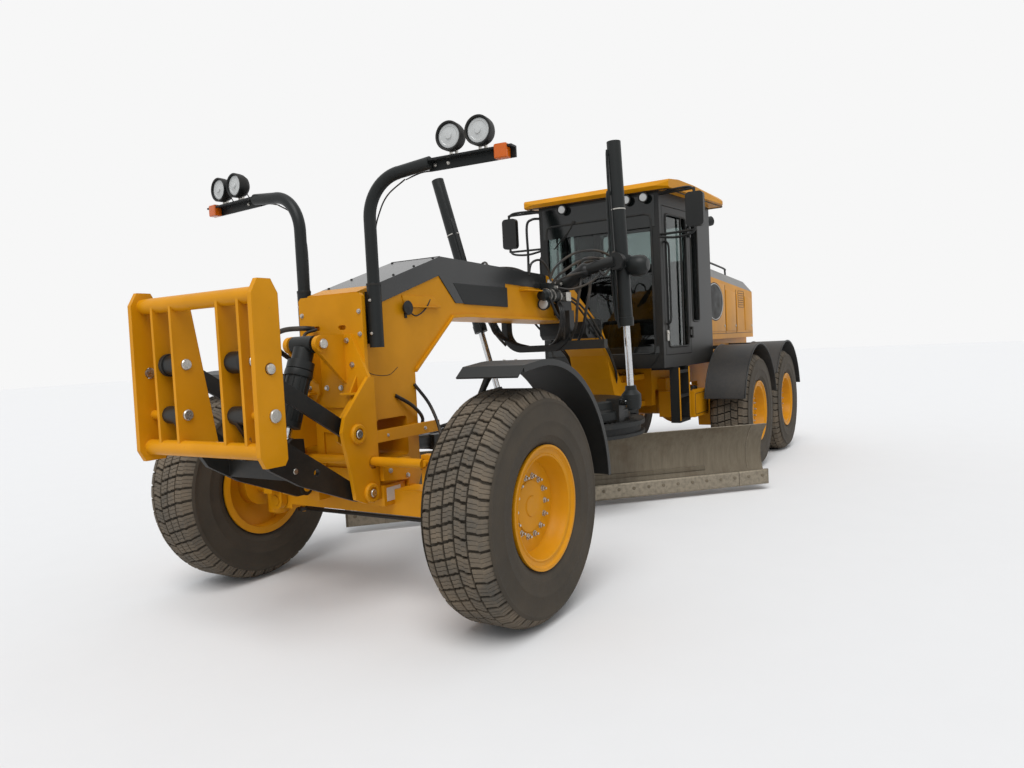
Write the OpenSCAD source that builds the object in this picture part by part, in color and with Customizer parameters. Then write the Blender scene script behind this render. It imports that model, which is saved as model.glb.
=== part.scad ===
// Motor grader with a front lift group: machine coordinates run from the front
// axle, +X ahead, +Y to the left, +Z up from the ground, all in millimetres.

/* [Layout] */
// Front axle ahead of the origin
axle_ahead = 3364; // [3300:1:3450]
// Centre plane to the left of the origin
plane_left = -113; // [-150:1:150]
// Front axle to the middle of the tandem
wheelbase = 6160; // [6100:10:6260]
// Distance between the two tandem wheels
tandem_span = 1540; // [1500:10:1600]
// Front track, wheel centre to wheel centre
front_track = 2316; // [2300:2:2360]
// Rear track, wheel centre to wheel centre
rear_track = 2147; // [2130:2:2200]
// Front axle back to the articulation hinge
hinge_back = 3980; // [3940:5:4020]

/* [Wheels] */
// Radius of the tyre out to its lugs
tyre_r = 672; // [640:1:680]
// Width of the tyre
tyre_w = 445; // [420:1:450]
// Radius of the rim flange
flange_r = 352; // [345:1:360]
// Inside radius of the rim barrel
barrel_r = 305; // [290:1:315]
// Width of the rim over its flanges
rim_w = 404; // [380:1:410]
// Radius of the spindle that a wheel turns on
spindle_r = 60; // [50:1:70]
// Running gap between a wheel and its spindle
spindle_gap = 0.5; // [0.3:0.1:1]

/* [Front frame] */
// Width of the frame box
frame_w = 428; // [400:2:440]
// Front face of the frame, ahead of the axle
nose_x = 195; // [185:1:205]
// Rear face of the front leg, behind the axle
leg_back = 320; // [300:5:330]
// Thickness of the frame side plates
side_t = 25; // [20:1:30]
// Height of the middle of the axle beam
axle_z = 660; // [650:1:672]
// Height of the underside of the front leg
leg_z = 760; // [750:1:770]

/* [Front lift] */
// Half the spread of the bracket plates
bracket_y = 300; // [290:1:310]
// Half the width of the carrier over its side plates
carrier_y = 500; // [490:1:520]
// Radius of the carrier tubes
carrier_tube_r = 42; // [35:1:46]
// Radius of the carrier and arm pins
lift_pin_r = 25; // [20:1:28]
// Gap round each pin of the lift group
pin_gap = 0.5; // [0.3:0.1:1]

/* [Steering] */
// Centre plane out to the lean pivot
lean_y = 690; // [680:2:700]
// Height of the lean pivot
lean_z = 600; // [590:1:610]
// Centre plane out to the kingpin
kingpin_y = 840; // [835:1:850]
// Height of the lean bar above the lean pivot
lean_bar_up = 330; // [320:1:340]
// Lean bar ahead of the axle
lean_bar_x = 245; // [240:1:250]
// Tie rod behind the axle
tie_x = 235; // [225:1:245]

/* [Drawbar and circle] */
// Drawbar ball behind the front axle
ball_back = 430; // [420:1:440]
// Height of the drawbar ball
ball_z = 930; // [920:1:940]
// Circle centre behind the front axle
circle_back = 2690; // [2670:5:2700]
// Circle centre to the left of the centre plane
circle_left = 100; // [80:5:110]
// Outside radius of the circle
circle_r = 740; // [720:5:750]
// Height of the underside of the circle
circle_z = 720; // [710:1:730]
// Teeth inside the circle
teeth = 64; // [48:1:72]

/* [Moldboard] */
// Length of the moldboard
blade_len = 4200; // [3900:10:4200]
// Height of the moldboard with its cutting edge
blade_h = 610; // [600:5:620]
// Turn of the moldboard from square across
blade_turn = 45.7; // [44:0.1:47]
// Height of the cutting edge above the ground
blade_z = 58; // [45:1:80]
// Moldboard face ahead of the circle centre
blade_ahead = 94; // [80:1:110]
// Radius of the moldboard's curved face
blade_curve_r = 420; // [400:5:460]
// Thickness of the moldboard plate
blade_t = 22; // [18:1:25]

// Pitch pivot behind the circle centre
pitch_back = 125; // [120:1:130]
// Height of the pitch pivot
pitch_z = 450; // [440:1:470]

/* [Lift cylinders] */
// Saddle trunnions behind the front axle
trunnion_back = 2600; // [2580:5:2620]
// Height of the saddle trunnions
trunnion_z = 2270; // [2250:5:2290]
// Outside radius of a lift cylinder barrel
cyl_r = 62; // [55:1:66]
// Radius of a lift cylinder rod
cyl_rod_r = 30; // [25:1:35]

/* [Cab] */
// Cab front at the windshield sill, behind the axle
cab_front = 3790; // [3780:5:3800]
// Rear wall of the cab, behind the axle
cab_rear = 5290; // [5250:5:5320]
// Half width of the cab over its doors
cab_y = 770; // [760:2:780]
// Half width of the cab at its front
cab_nose_y = 700; // [690:2:710]
// Door hinges behind the axle
door_back = 4490; // [4480:2:4510]
// Length of a door
door_len = 640; // [620:2:646]
// Gap round a door
door_gap = 6; // [5:1:8]
// Door hinge axis out of the door's face
door_hinge_y = 14; // [12:1:18]
// Height of the cab floor's underside
cab_floor_z = 1270; // [1260:2:1290]
// Height of the cab walls where the roof sits
cab_top_z = 3090; // [3070:5:3110]
// Height of the roof over the cab walls
roof_h = 140; // [120:5:170]
// Thickness of the cab pillars
pillar_t = 70; // [60:1:80]
// Thickness of the cab glass
glass_t = 8; // [6:1:10]

/* [Engine housing] */
// Half width of the hood
hood_y = 620; // [600:5:640]
// Front of the hood, behind the axle
hood_front = 5330; // [5320:5:5360]
// Rear of the hood, behind the axle
hood_rear = 7880; // [7800:5:7900]
// Underside of the hood
hood_z = 1530; // [1520:5:1545]
// Top of the hood sides at the front
hood_side_front_z = 2350; // [2300:5:2390]
// Top of the hood sides at the rear
hood_side_rear_z = 2200; // [2150:5:2240]
// Height of the sloping hood top over its sides
hood_rise = 160; // [120:5:200]

/* [Hidden] */
yellow = "#f0ab12";
dark_grey = "#3b3e40";
black = "#1d1e1f";
cover_grey = "#55585a";
chrome = "#c9ccce";
rubber = "#2f2f2e";
steel = "#8b857b";
$fn = 48;

roof_top_z = cab_top_z + roof_h;
// Wheel stations along the machine
fore_x = -wheelbase + tandem_span / 2;
aft_x = -wheelbase - tandem_span / 2;
front_y = front_track / 2;
rear_y = rear_track / 2;
frame_y = frame_w / 2;

// Pins of the front lift group: X and Z
arm_pin = [283, 744];
carrier_low = [1130, 1300];
carrier_high = [1120, 1570];
link_pin = [370, 1110];
link_eye_r = 33;
carrier_hole = [1141, 1531];
carrier_hole_r = 30;
cyl_top = [440, 1650];
cyl_foot = [655, 1075];
ear_y = 118;
link_y = 250;

// Gooseneck: corners of its top, and its hinge barrel
neck_front = [nose_x, 1960];
neck_crest = [-658, 2235];
neck_back = [-2198, 2187];
cover_front = [60, 2003];
cover_t = 42;
hinge_low = 900;
hinge_top = 1120;
hinge_pin_r = 50;
ball_r = 62;
shield_y = 615;
window_top_z = cab_top_z - 220;
door_top_z = cab_top_z - 140;
quarter_len = 240;
door_rail = 70;
door_hinge_x = 3;
door_hinge_z = [cab_floor_z + 330, door_top_z - 250];
door_pin_r = 6;

// Drawbar: turned about its ball until the circle is shifted to the left
drawbar_turn = atan2(circle_left, circle_back - ball_back);
circle_top_z = circle_z + 130;
tooth_root_r = circle_r - 95;
tooth_h = 34;

// Lift cylinder pins: trunnion and ball on each side
lift_trunnion_l = [-trunnion_back, 775, trunnion_z];
lift_trunnion_r = [-trunnion_back, -912, trunnion_z];
lift_ball_l = [-trunnion_back, 815, 1020];
lift_ball_r = [-trunnion_back, -560, 1020];
lean_bar_hole_r = 38;
lean_pin_r = 35;
lean_x = 150;
lean_bar_pin_r = 20;
kingpin_r = 40;
arm_low_z = 490;
tie_z = arm_low_z - 34;
tie_pin_r = 14;
tie_cross = 60;
tie_cross_r = 8;
tie_eye_r = 33;
leg_y = 640;
pitch_pin_r = 30;
rail_x = -75;
rail_low = 260;
rail_top = 540;
rail_len = 2900;
barrel_up = 1060;
barrel_down = 560;

module place() translate([axle_ahead, plane_left, 0]) children();

// A plate in the X-Z plane, its middle at y
module xz_plate(points, y, t) {
    translate([0, y + t / 2, 0]) rotate([90, 0, 0]) linear_extrude(t) polygon(points);
}

// A plate in the Y-Z plane, its rear face at x
module yz_plate(points, x, t) {
    translate([x, 0, 0]) rotate([90, 0, 90]) linear_extrude(t) polygon(points);
}

// A round bar from p to q
module bar(p, q, r) {
    d = q - p;
    translate(p) rotate([0, acos(d[2] / norm(d)), atan2(d[1], d[0])])
        cylinder(h = norm(d), r = r);
}

// A pin or bush along Y
module y_pin(x, z, r, y0, y1) {
    translate([x, y1, z]) rotate([90, 0, 0]) cylinder(h = y1 - y0, r = r);
}

// A box given by its corners
module block(a, b) translate(a) cube(b - a);

// Both sides of the machine
module both() {
    children();
    mirror([0, 1, 0]) children();
}

// Wheel profile turned about its own axis, its outer side towards +Y
module turned_y() rotate([-90, 0, 0]) rotate_extrude($fn = 96) children();

module rim_shape() {
    disc = -70;
    half = rim_w / 2;
    hub_r = 118;
    turned_y() union() {
        polygon([[barrel_r, -half], [flange_r, -half], [flange_r, -half + 14],
            [barrel_r + 14, -half + 24], [barrel_r + 14, half - 24],
            [flange_r, half - 14], [flange_r, half], [flange_r - 14, half],
            [flange_r - 20, half - 20], [barrel_r, half - 34]]);
        polygon([[hub_r + 10, disc - 10], [barrel_r + 5, disc - 34], [barrel_r + 5, disc - 14],
            [200, disc + 10], [hub_r + 10, disc + 10]]);
        polygon([[0, disc + 54], [spindle_r + spindle_gap, disc + 54],
            [spindle_r + spindle_gap, -160], [hub_r + 30, -160], [hub_r + 30, disc - 4],
            [hub_r, disc + 14], [hub_r, disc + 44], [hub_r - 14, disc + 60], [0, disc + 66]]);
    }
}

module tyre_shape() {
    half = tyre_w / 2;
    bead = rim_w / 2 - 26;
    turned_y() polygon([[barrel_r + 15, -bead], [flange_r - 8, -bead + 2],
        [flange_r + 30, -half + 12], [500, -half], [600, -half + 4], [650, -half + 22],
        [tyre_r, -half + 50], [tyre_r, half - 50], [650, half - 22], [600, half - 4],
        [500, half], [flange_r + 30, half - 12], [flange_r - 8, bead - 2],
        [barrel_r + 15, bead]]);
}

// Station of a wheel: side is 1 on the left and -1 on the right
module at_wheel(x, y, side) translate([x, side * y, tyre_r]) scale_side(side) children();
module scale_side(side) {
    if (side > 0) children();
    else mirror([0, 1, 0]) children();
}

module rim(x, y, side) color(yellow) at_wheel(x, y, side) rim_shape();
module tyre(x, y, side) color(rubber) at_wheel(x, y, side) tyre_shape();

module rear_chassis() color(yellow) {
    rail_y = 330;
    tank_x = fore_x + 460;
    // Long rails under the cab and the engine
    both() {
        block([-7900, rail_y - 60, 1000], [-hinge_back - 330, rail_y + 20, 1250]);
        // Side tank ahead of the tandem
        block([tank_x, rail_y + 60, 690], [tank_x + 510, 800, 980]);
        block([tank_x + 130, rail_y + 20, 980], [tank_x + 430, rail_y + 120, 1120]);
    }
    // Hinge lugs above and below the front frame's barrel
    for (z = [[830, 60], [1130, 60]])
        difference() {
            union() {
                translate([-hinge_back, 0, z[0]]) cylinder(h = z[1], r = 150);
                block([-hinge_back - 380, -rail_y + 60, z[0]],
                    [-hinge_back, rail_y - 60, z[0] + z[1]]);
            }
            translate([-hinge_back, 0, z[0] - 1])
                cylinder(h = z[1] + 2, r = hinge_pin_r + pin_gap);
        }
    block([-hinge_back - 440, -rail_y - 20, 830], [-hinge_back - 330, rail_y + 20, 1250]);
    // Cross members and rear bumper
    block([-wheelbase - 740, -rail_y + 60, 1040], [-wheelbase - 540, rail_y - 60, 1240]);
    block([-7960, -500, 900], [-7885, 500, 1400]);
    // Deck that carries the cab and the hood
    block([-7890, -560, 1250], [-cab_rear - 10, 560, 1290]);
    both() block([-5200, 240, 1250], [-4440, 480, cab_floor_z]);
}

module cab_outline(inset) {
    y = cab_y - inset;
    nose = cab_nose_y - inset;
    polygon([[-cab_rear + inset, -y], [-door_back, -y], [-cab_front - inset, -nose],
        [-cab_front - inset, nose], [-door_back, y], [-cab_rear + inset, y]]);
}

// Frame of a door: X forward along it from its hinge, Y out of its outer face
module at_door() translate([-door_back, cab_y, 0])
    rotate([0, 0, -atan2(cab_y - cab_nose_y, door_back - cab_front)]) children();

module cab_frame() color(black) {
    floor_t = 50;
    difference() {
        translate([0, 0, cab_floor_z]) linear_extrude(cab_top_z - cab_floor_z)
            cab_outline(0);
        translate([0, 0, cab_floor_z + floor_t])
            linear_extrude(cab_top_z - cab_floor_z - floor_t - 60) cab_outline(pillar_t);
        // Windshield, doors, quarter windows and rear window
        block([-cab_front - pillar_t - 1, -shield_y, 1420], [-cab_front + 1, shield_y,
            window_top_z]);
        both() at_door() block([0, -pillar_t - 30, 1400], [door_len + door_gap, 10,
            door_top_z]);
        both() block([-door_back - pillar_t - quarter_len, cab_y - pillar_t - 1, 1750],
            [-door_back - pillar_t, cab_y + 1, window_top_z + 50]);
        block([-cab_rear - 1, -shield_y, 2400], [-cab_rear + pillar_t + 1, shield_y,
            window_top_z + 50]);
    }
    // Door hinge lugs with their pins
    both() at_door() for (z = door_hinge_z) {
        for (h = [-31, 61]) {
            translate([door_hinge_x, door_hinge_y, z + h]) cylinder(h = 30, r = 14);
            block([-50, -1, z + h], [door_hinge_x, door_hinge_y, z + h + 30]);
        }
        translate([door_hinge_x, door_hinge_y, z - 31]) cylinder(h = 122, r = door_pin_r);
    }
    // Mirrors in their tube loops, on arms out of the front pillars
    both() {
        for (z = [mirror_z - 205, mirror_z + 205])
            bar([-cab_front - 40, cab_nose_y - 20, z], [-cab_front + 20, mirror_y, z], 12);
        bar([-cab_front + 20, mirror_y, mirror_z - 210], [-cab_front + 20, mirror_y,
            mirror_z + 210], 14);
        mirror_case();
    }
}

mirror_y = 1080;
mirror_z = 2850;
// Case with rounded corners
module mirror_case() translate([-cab_front - 25, mirror_y, mirror_z]) {
    w = 90;
    h = 170;
    r = 40;
    for (y = [-w + r, w - r])
        for (z = [-h + r, h - r])
            translate([0, y, z]) rotate([0, 90, 0]) cylinder(h = 60, r = r);
    block([0, -w, -h + r], [60, w, h - r]);
    block([0, -w + r, -h], [60, w - r, h]);
}

module cab_roof() color(yellow) {
    wide = 975;
    front_x = -cab_front + 110;
    rear_x = -cab_rear - 130;
    top = roof_top_z;
    intersection() {
        // Side profile, plan and cross section of the cap
        xz_plate([[rear_x, top - 85], [rear_x + 280, top - 15], [-cab_front - 500, top],
            [-cab_front + 60, top - 55], [front_x, top - 110], [-cab_front + 60, cab_top_z],
            [-cab_rear - 100, cab_top_z]], 0, 2 * wide + 100);
        translate([0, 0, cab_top_z - 1]) linear_extrude(roof_h + 2) polygon([
            [rear_x, -wide + 90], [rear_x + 250, -wide], [-cab_front + 80, -840],
            [front_x, -700], [front_x, 700], [-cab_front + 80, 840], [rear_x + 250, wide],
            [rear_x, wide - 90]]);
        yz_plate([[-wide - 1, cab_top_z], [-wide - 1, top - 105], [-wide + 75, top - 40],
            [-wide + 260, top - 4], [-500, top + 1], [500, top + 1], [wide - 260, top - 4],
            [wide - 75, top - 40], [wide + 1, top - 105], [wide + 1, cab_top_z]],
            rear_x - 1, front_x - rear_x + 2);
    }
}

module cab_glass() color("#7f9a95") {
    block([-cab_front - 40, -shield_y, 1420], [-cab_front - 40 + glass_t, shield_y,
        window_top_z]);
    both() block([-door_back - pillar_t - quarter_len, cab_y - 40, 1750],
        [-door_back - pillar_t, cab_y - 40 + glass_t, window_top_z + 50]);
    block([-cab_rear + 30, -shield_y, 2400], [-cab_rear + 30 + glass_t, shield_y,
        window_top_z + 50]);
}

module cab_interior() color(black) {
    seat_x = -4750;
    floor_z = cab_floor_z + 50;
    block([seat_x - 220, -200, floor_z], [seat_x + 180, 200, floor_z + 300]);
    block([seat_x - 250, -260, floor_z + 300], [seat_x + 260, 260, floor_z + 440]);
    block([seat_x - 330, -250, floor_z + 440], [seat_x - 210, 250, floor_z + 1130]);
    // Steering column with its wheel
    difference() {
        bar([seat_x + 650, 0, floor_z - 60], [seat_x + 520, 0, floor_z + 700], 60);
        block([seat_x + 500, -100, floor_z - 200], [seat_x + 800, 100, floor_z]);
    }
    translate([seat_x + 520, 0, floor_z + 700]) rotate([0, -10, 0]) cylinder(h = 30, r = 190);
}

module hood_side_profile() {
    polygon([[-hood_rear, hood_z], [-hood_rear, hood_side_rear_z],
        [-hood_front, hood_side_front_z], [-hood_front, hood_z]]);
}

module engine_hood() color(yellow) {
    wall = 40;
    difference() {
        translate([0, hood_y, 0]) rotate([90, 0, 0]) linear_extrude(2 * hood_y)
            hood_side_profile();
        block([-hood_rear + wall, -hood_y + wall, hood_z + 20],
            [-hood_front - wall, hood_y - wall, hood_side_rear_z - 40]);
        block([-hood_rear + wall, -470, hood_z - 10], [-hood_front - wall, 470, hood_z + 30]);
        block([-hood_rear - 10, -hood_y + 60, hood_z + 60],
            [-hood_rear + wall + 10, hood_y - 60, hood_side_rear_z - 60]);
    }
    // Base walls down to the deck
    both() block([-hood_rear, 480, 1290], [-hood_front, 520, hood_z]);
}

// Frame of the sloping hood top: X forward from its rear edge, Z out of the hood sides
hood_slope = atan2(hood_side_front_z - hood_side_rear_z, hood_rear - hood_front);
module on_hood() translate([-hood_rear, 0, hood_side_rear_z]) rotate([0, -hood_slope, 0])
    children();

module hood_top() color(cover_grey) on_hood()
    yz_plate([[-hood_y, 0], [-hood_y + 130, hood_rise], [hood_y - 130, hood_rise],
        [hood_y, 0]], 0, (hood_rear - hood_front) / cos(hood_slope));

module engine_block() color(dark_grey) {
    block([-7300, -400, 1290], [-6000, 400, 2080]);
}

module rear_grille() color(black) {
    difference() {
        block([-hood_rear - 2, -hood_y + 60, hood_z + 60],
            [-hood_rear + 38, hood_y - 60, hood_side_rear_z - 60]);
        for (i = [0 : 7])
            block([-hood_rear - 4, -hood_y + 110, hood_z + 100 + 60 * i],
                [-hood_rear + 42, hood_y - 110, hood_z + 130 + 60 * i]);
    }
}

module exhaust_stack() color(black) on_hood() translate([1690, 300, hood_rise]) {
    cylinder(h = 30, r = 90);
    translate([0, 0, 15]) rotate([0, hood_slope, 0]) cylinder(h = 465, r = 62);
}

module rear_axle() color(yellow) {
    difference() {
        union() {
            // Final drive between the tandem cases
            translate([-wheelbase, 0, tyre_r + 40]) rotate([90, 0, 0])
                translate([0, 0, -600]) cylinder(h = 1200, r = 170);
            translate([-wheelbase, 0, tyre_r + 40]) sphere(r = 290);
            both() {
                xz_plate([[aft_x - 180, tyre_r - 160], [aft_x - 220, tyre_r + 60],
                    [aft_x - 60, tyre_r + 190], [fore_x + 60, tyre_r + 190],
                    [fore_x + 220, tyre_r + 60], [fore_x + 180, tyre_r - 160]], 700, 220);
                for (x = [fore_x, aft_x])
                    y_pin(x, tyre_r, spindle_r, 800, rear_y - 20);
            }
            // Pads up to the rails
            both() block([-wheelbase - 200, 270, tyre_r + 150],
                [-wheelbase + 200, 350, 1000]);
        }
        block([-wheelbase - 400, -400, tyre_r + 330], [-wheelbase + 400, 400, 1100]);
    }
}

module rear_fenders() color(dark_grey) {
    r = tyre_r + 110;
    t = 10;
    y0 = 850;
    y1 = 1300;
    both() {
        // One arch over each wheel, from its front angle to its rear angle
        for (s = [[fore_x, 15, 167], [aft_x, 30, 167]])
            translate([s[0], y1, tyre_r]) rotate([90, 0, 0])
                rotate_extrude_band(r, t, y1 - y0, s[1], s[2]);
        // Stays to the deck
        for (x = [fore_x, aft_x])
            block([x - 40, 520, tyre_r + r - 36], [x + 40, y0 + 40, tyre_r + r + 4]);
    }
}

// Part of a ring from angle a to angle b, of radius r, thickness t and height h
module rotate_extrude_band(r, t, h, a, b) {
    rotate([0, 0, a]) rotate_extrude(angle = b - a, $fn = 96)
        translate([r, 0]) square([t, h]);
}

module cab_steps() color(black) both() {
    for (x = [-3990, -4310])
        block([x - 20, 680, 676], [x, 780, cab_floor_z]);
    for (z = [676, 940, 1200])
        block([-4310, 680, z], [-4010, 780, z + 30]);
    block([-4330, 480, 1240], [-3990, 680, cab_floor_z]);
}

module door_panel() at_door() difference() {
    union() {
        block([door_gap, -45, 1400 + door_gap], [door_len, 0, door_top_z - door_gap]);
        for (z = door_hinge_z) {
            translate([door_hinge_x, door_hinge_y, z]) cylinder(h = 60, r = 14);
            block([door_hinge_x, -1, z], [60, door_hinge_y + 6, z + 60]);
        }
    }
    block([door_rail, -60, 1480], [door_len - door_rail, 10, door_top_z - 80]);
    for (z = door_hinge_z)
        translate([door_hinge_x, door_hinge_y, z - 1])
            cylinder(h = 62, r = door_pin_r + pin_gap);
}

module door_pane() at_door() block([door_rail, -30, 1480],
    [door_len - door_rail, -30 + glass_t, door_top_z - 80]);

module door_left() color(black) door_panel();
module door_right() color(black) mirror([0, 1, 0]) door_panel();
module door_left_glass() color("#7f9a95") door_pane();
module door_right_glass() color("#7f9a95") mirror([0, 1, 0]) door_pane();

// Side outline of the gooseneck: front leg, arch and rear leg
module gooseneck_outline() {
    drop = [0, cover_t];
    polygon([[nose_x, leg_z], neck_front, cover_front, cover_front - drop, neck_crest - drop,
        neck_back - drop, neck_back, [-2750, 2080],
        [-3330, 1720], [-3640, 1330], [-3675, 1262], [-3800, hinge_top],
        [-hinge_back + 40, hinge_top], [-hinge_back + 40, hinge_low], [-3680, hinge_low],
        [-3620, 960], [-3520, 1180], [-3440, 1430], [-2980, 1774], [-960, 1810],
        [-773, 1803], [-leg_back, 1439], [-leg_back, leg_z]]);
}

module front_frame() color(yellow) {
    difference() {
        union() {
            translate([0, frame_y, 0]) rotate([90, 0, 0]) linear_extrude(frame_w)
                gooseneck_outline();
            translate([-hinge_back, 0, hinge_low]) cylinder(h = hinge_top - hinge_low, r = 140);
            // Flange along the underside of the arch
            translate([0, frame_y + 18, 0]) rotate([90, 0, 0])
                linear_extrude(2 * frame_y + 36) polygon([[-leg_back, 1439], [-773, 1803],
                    [-960, 1810], [-2980, 1774], [-2980, 1796], [-958, 1832], [-781, 1826],
                    [-leg_back, 1462]]);
            // Socket of the drawbar's ball
            block([-ball_back - 5, -95, ball_z - 95], [-leg_back, 95, ball_z + 95]);
        }
        translate([-ball_back, 0, ball_z]) sphere(r = ball_r + 1);
        // Hole through the leg, its corners rounded
        for (x = [-182, 65])
            for (z = [925, 1135])
                y_pin(x, z, 25, -frame_y - 1, frame_y + 1);
        block([-207, -frame_y - 1, 925], [90, frame_y + 1, 1135]);
        block([-182, -frame_y - 1, 900], [65, frame_y + 1, 1160]);
        // Room for the rear frame's lugs
        for (z = [hinge_top, hinge_low - 80])
            translate([-hinge_back, 0, z]) cylinder(h = 80, r = 165);
    }
    translate([-hinge_back, 0, hinge_low - 90])
        cylinder(h = hinge_top - hinge_low + 180, r = hinge_pin_r);
}

module frame_cover() color(cover_grey) {
    seat = 0.3;
    skirt = 127;
    wall = 7;
    // Cap let into the top of the arch, with its skirts down both sides
    difference() {
        cover_band(-skirt, 0, frame_y + seat + wall, 1);
        cover_band(-skirt - 50, seat - cover_t, frame_y + seat, -9);
    }
    // Dark panels on the sides, hung from the skirts
    both() translate([0, frame_y + seat + wall, 0]) rotate([90, 0, 0]) linear_extrude(wall)
        polygon([[-601, 2130], [-821, 1911], [-1508, 1902], [-1511, 2130]]);
}
module cover_band(low, high, y, end) {
    top = [cover_front - [end, 0], neck_crest, neck_back + [end, 0]];
    up = [for (p = top) p + [0, high]];
    down = [for (i = [len(top) - 1 : -1 : 0]) top[i] + [0, low]];
    translate([0, y, 0]) rotate([90, 0, 0]) linear_extrude(2 * y) polygon(concat(up, down));
}

module lift_bracket() color(yellow) {
    face = nose_x + 27;
    // Side plates down to the arm pins, each with its link's inner cheek
    both() difference() {
        union() {
            xz_plate([[nose_x + 2, 689], [330, 689], [411, 725], [440, 902], [478, 1051],
                [492, 1130], [464, 1218], [251, 1439], [nose_x + 2, 1439]], bracket_y, 26);
            y_pin(arm_pin[0], arm_pin[1], 55, bracket_y - 13, bracket_y + 26);
            y_pin(link_pin[0], link_pin[1], 55, bracket_y - 13, bracket_y + 22);
            xz_plate([[nose_x + 2, 1010], [nose_x + 2, 1400], [300, 1300], [430, 1170],
                [430, 1070], [330, 1000]], link_y - 48, 20);
        }
        y_pin(lean_bar_x, lean_z + lean_bar_up - 8, lean_bar_hole_r, 0, 400);
    }
    // Cross plate on the frame's front face, with a window between the arms
    difference() {
        block([nose_x, -bracket_y + 13, 700], [nose_x + 14, bracket_y - 13, 1250]);
        block([nose_x - 1, -130, 870], [face + 1, 130, 1090]);
    }
    // Box plate above it, with two slots and cut corners
    difference() {
        yz_plate([[-270, 1250], [-270, 1930], [-250, 1950], [250, 1950], [270, 1930],
            [270, 1250]], nose_x, 27);
        for (slot = [[-140, 1750], [80, 1746]])
            for (y = [0, 34])
                translate([nose_x - 1, slot[0] + y, slot[1]]) rotate([0, 90, 0])
                    cylinder(h = 30, r = 14);
        for (slot = [[-140, 1750], [80, 1746]])
            block([nose_x - 1, slot[0], slot[1] - 14], [face + 1, slot[0] + 34, slot[1] + 14]);
    }
    // Angle brackets: a flange bolted to the face, and the ear that holds the cylinder
    both() {
        yz_plate([[ear_y - 13, 1340], [ear_y - 13, 1705], [180, 1705], [310, 1439],
            [287, 1330], [200, 1250], [ear_y + 60, 1250]], face, 24);
        difference() {
            union() {
                xz_plate([[face, 1360], [face, 1705], [430, 1702], cyl_top + [20, 46],
                    cyl_top + [46, 10], cyl_top + [40, -30], [face, 1379]], ear_y, 26);
                y_pin(cyl_top[0], cyl_top[1], 50, ear_y - 13, ear_y + 20);
            }
        }
    }
    y_pin(cyl_top[0], cyl_top[1], lift_pin_r, -ear_y - 34, ear_y + 34);
    both() {
        y_pin(arm_pin[0], arm_pin[1], lift_pin_r, 225, bracket_y + 30);
        y_pin(link_pin[0], link_pin[1], lift_pin_r, link_y - 50, bracket_y + 4);
    }
    // Flat stays back over the axle
    both() {
        block([-428, bracket_y - 12, 1033], [nose_x + 2, bracket_y + 12, 1107]);
        block([-300, frame_y, 1040], [-240, bracket_y - 12, 1100]);
    }
}

module light_masts() color(dark_grey) {
    r = 38;
    bend = 250;
    bend_z = 2390;
    mast_x = 140;
    mast_y = 300;
    both() {
        // Sleeve with its flat bracket on the frame, the tube, and its bend outwards
        translate([mast_x, mast_y, 1615]) cylinder(h = 390, r = r + 6);
        block([mast_x - 40, frame_y, 1640], [mast_x - 10, mast_y, 1960]);
        translate([mast_x, mast_y, 1990]) cylinder(h = bend_z - 1990, r = r);
        translate([mast_x, mast_y, 0]) rotate([0, 0, 5]) {
            translate([0, bend, bend_z]) rotate([0, -90, 0]) rotate([0, 0, -90])
                rotate_extrude(angle = 84, $fn = 96) translate([bend, 0]) circle(r = r);
            translate([0, bend - bend * cos(84), bend_z + bend * sin(84)]) rotate([-84, 0, 0])
                cylinder(h = 230, r = r - 1);
            // Lamp bar
            block([-34, 430, bend_z + 228], [-22, 990, bend_z + 290]);
            block([-34, 430, bend_z + 278], [30, 990, bend_z + 290]);
            for (y = [612, 800]) {
                block([-8, y - 22, bend_z + 285], [8, y - 14, bend_z + 350]);
                block([-8, y + 14, bend_z + 285], [8, y + 22, bend_z + 350]);
                translate([-40, y, bend_z + 388]) rotate([0, 90, 0]) lamp_shape(80, 95);
            }
        }
    }
}

// Round lamp, its glass towards +Z
module lamp_shape(r, h) {
    rotate_extrude() polygon([[0, 0], [0.55 * r, 0], [0.8 * r, 0.15 * h], [0.95 * r, 0.4 * h],
        [r, 0.6 * h], [r, h], [0.9 * r, h], [0.88 * r, 0.9 * h], [0, 0.84 * h]]);
}

module front_axle() color(yellow) {
    beam_x = 95;
    block([-beam_x, -600, axle_z - 90], [beam_x, 600, axle_z + 70]);
    block([-140, -200, axle_z + 70], [140, 200, leg_z]);
    both() {
        block([-beam_x, 590, lean_z - 60], [beam_x, lean_y, lean_z + 60]);
        translate([-beam_x, lean_y, lean_z]) rotate([0, 90, 0])
            cylinder(h = 2 * beam_x, r = 60);
        translate([-lean_x - 5, lean_y, lean_z]) rotate([0, 90, 0])
            cylinder(h = 2 * lean_x + 10, r = lean_pin_r);
    }
}

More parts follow.
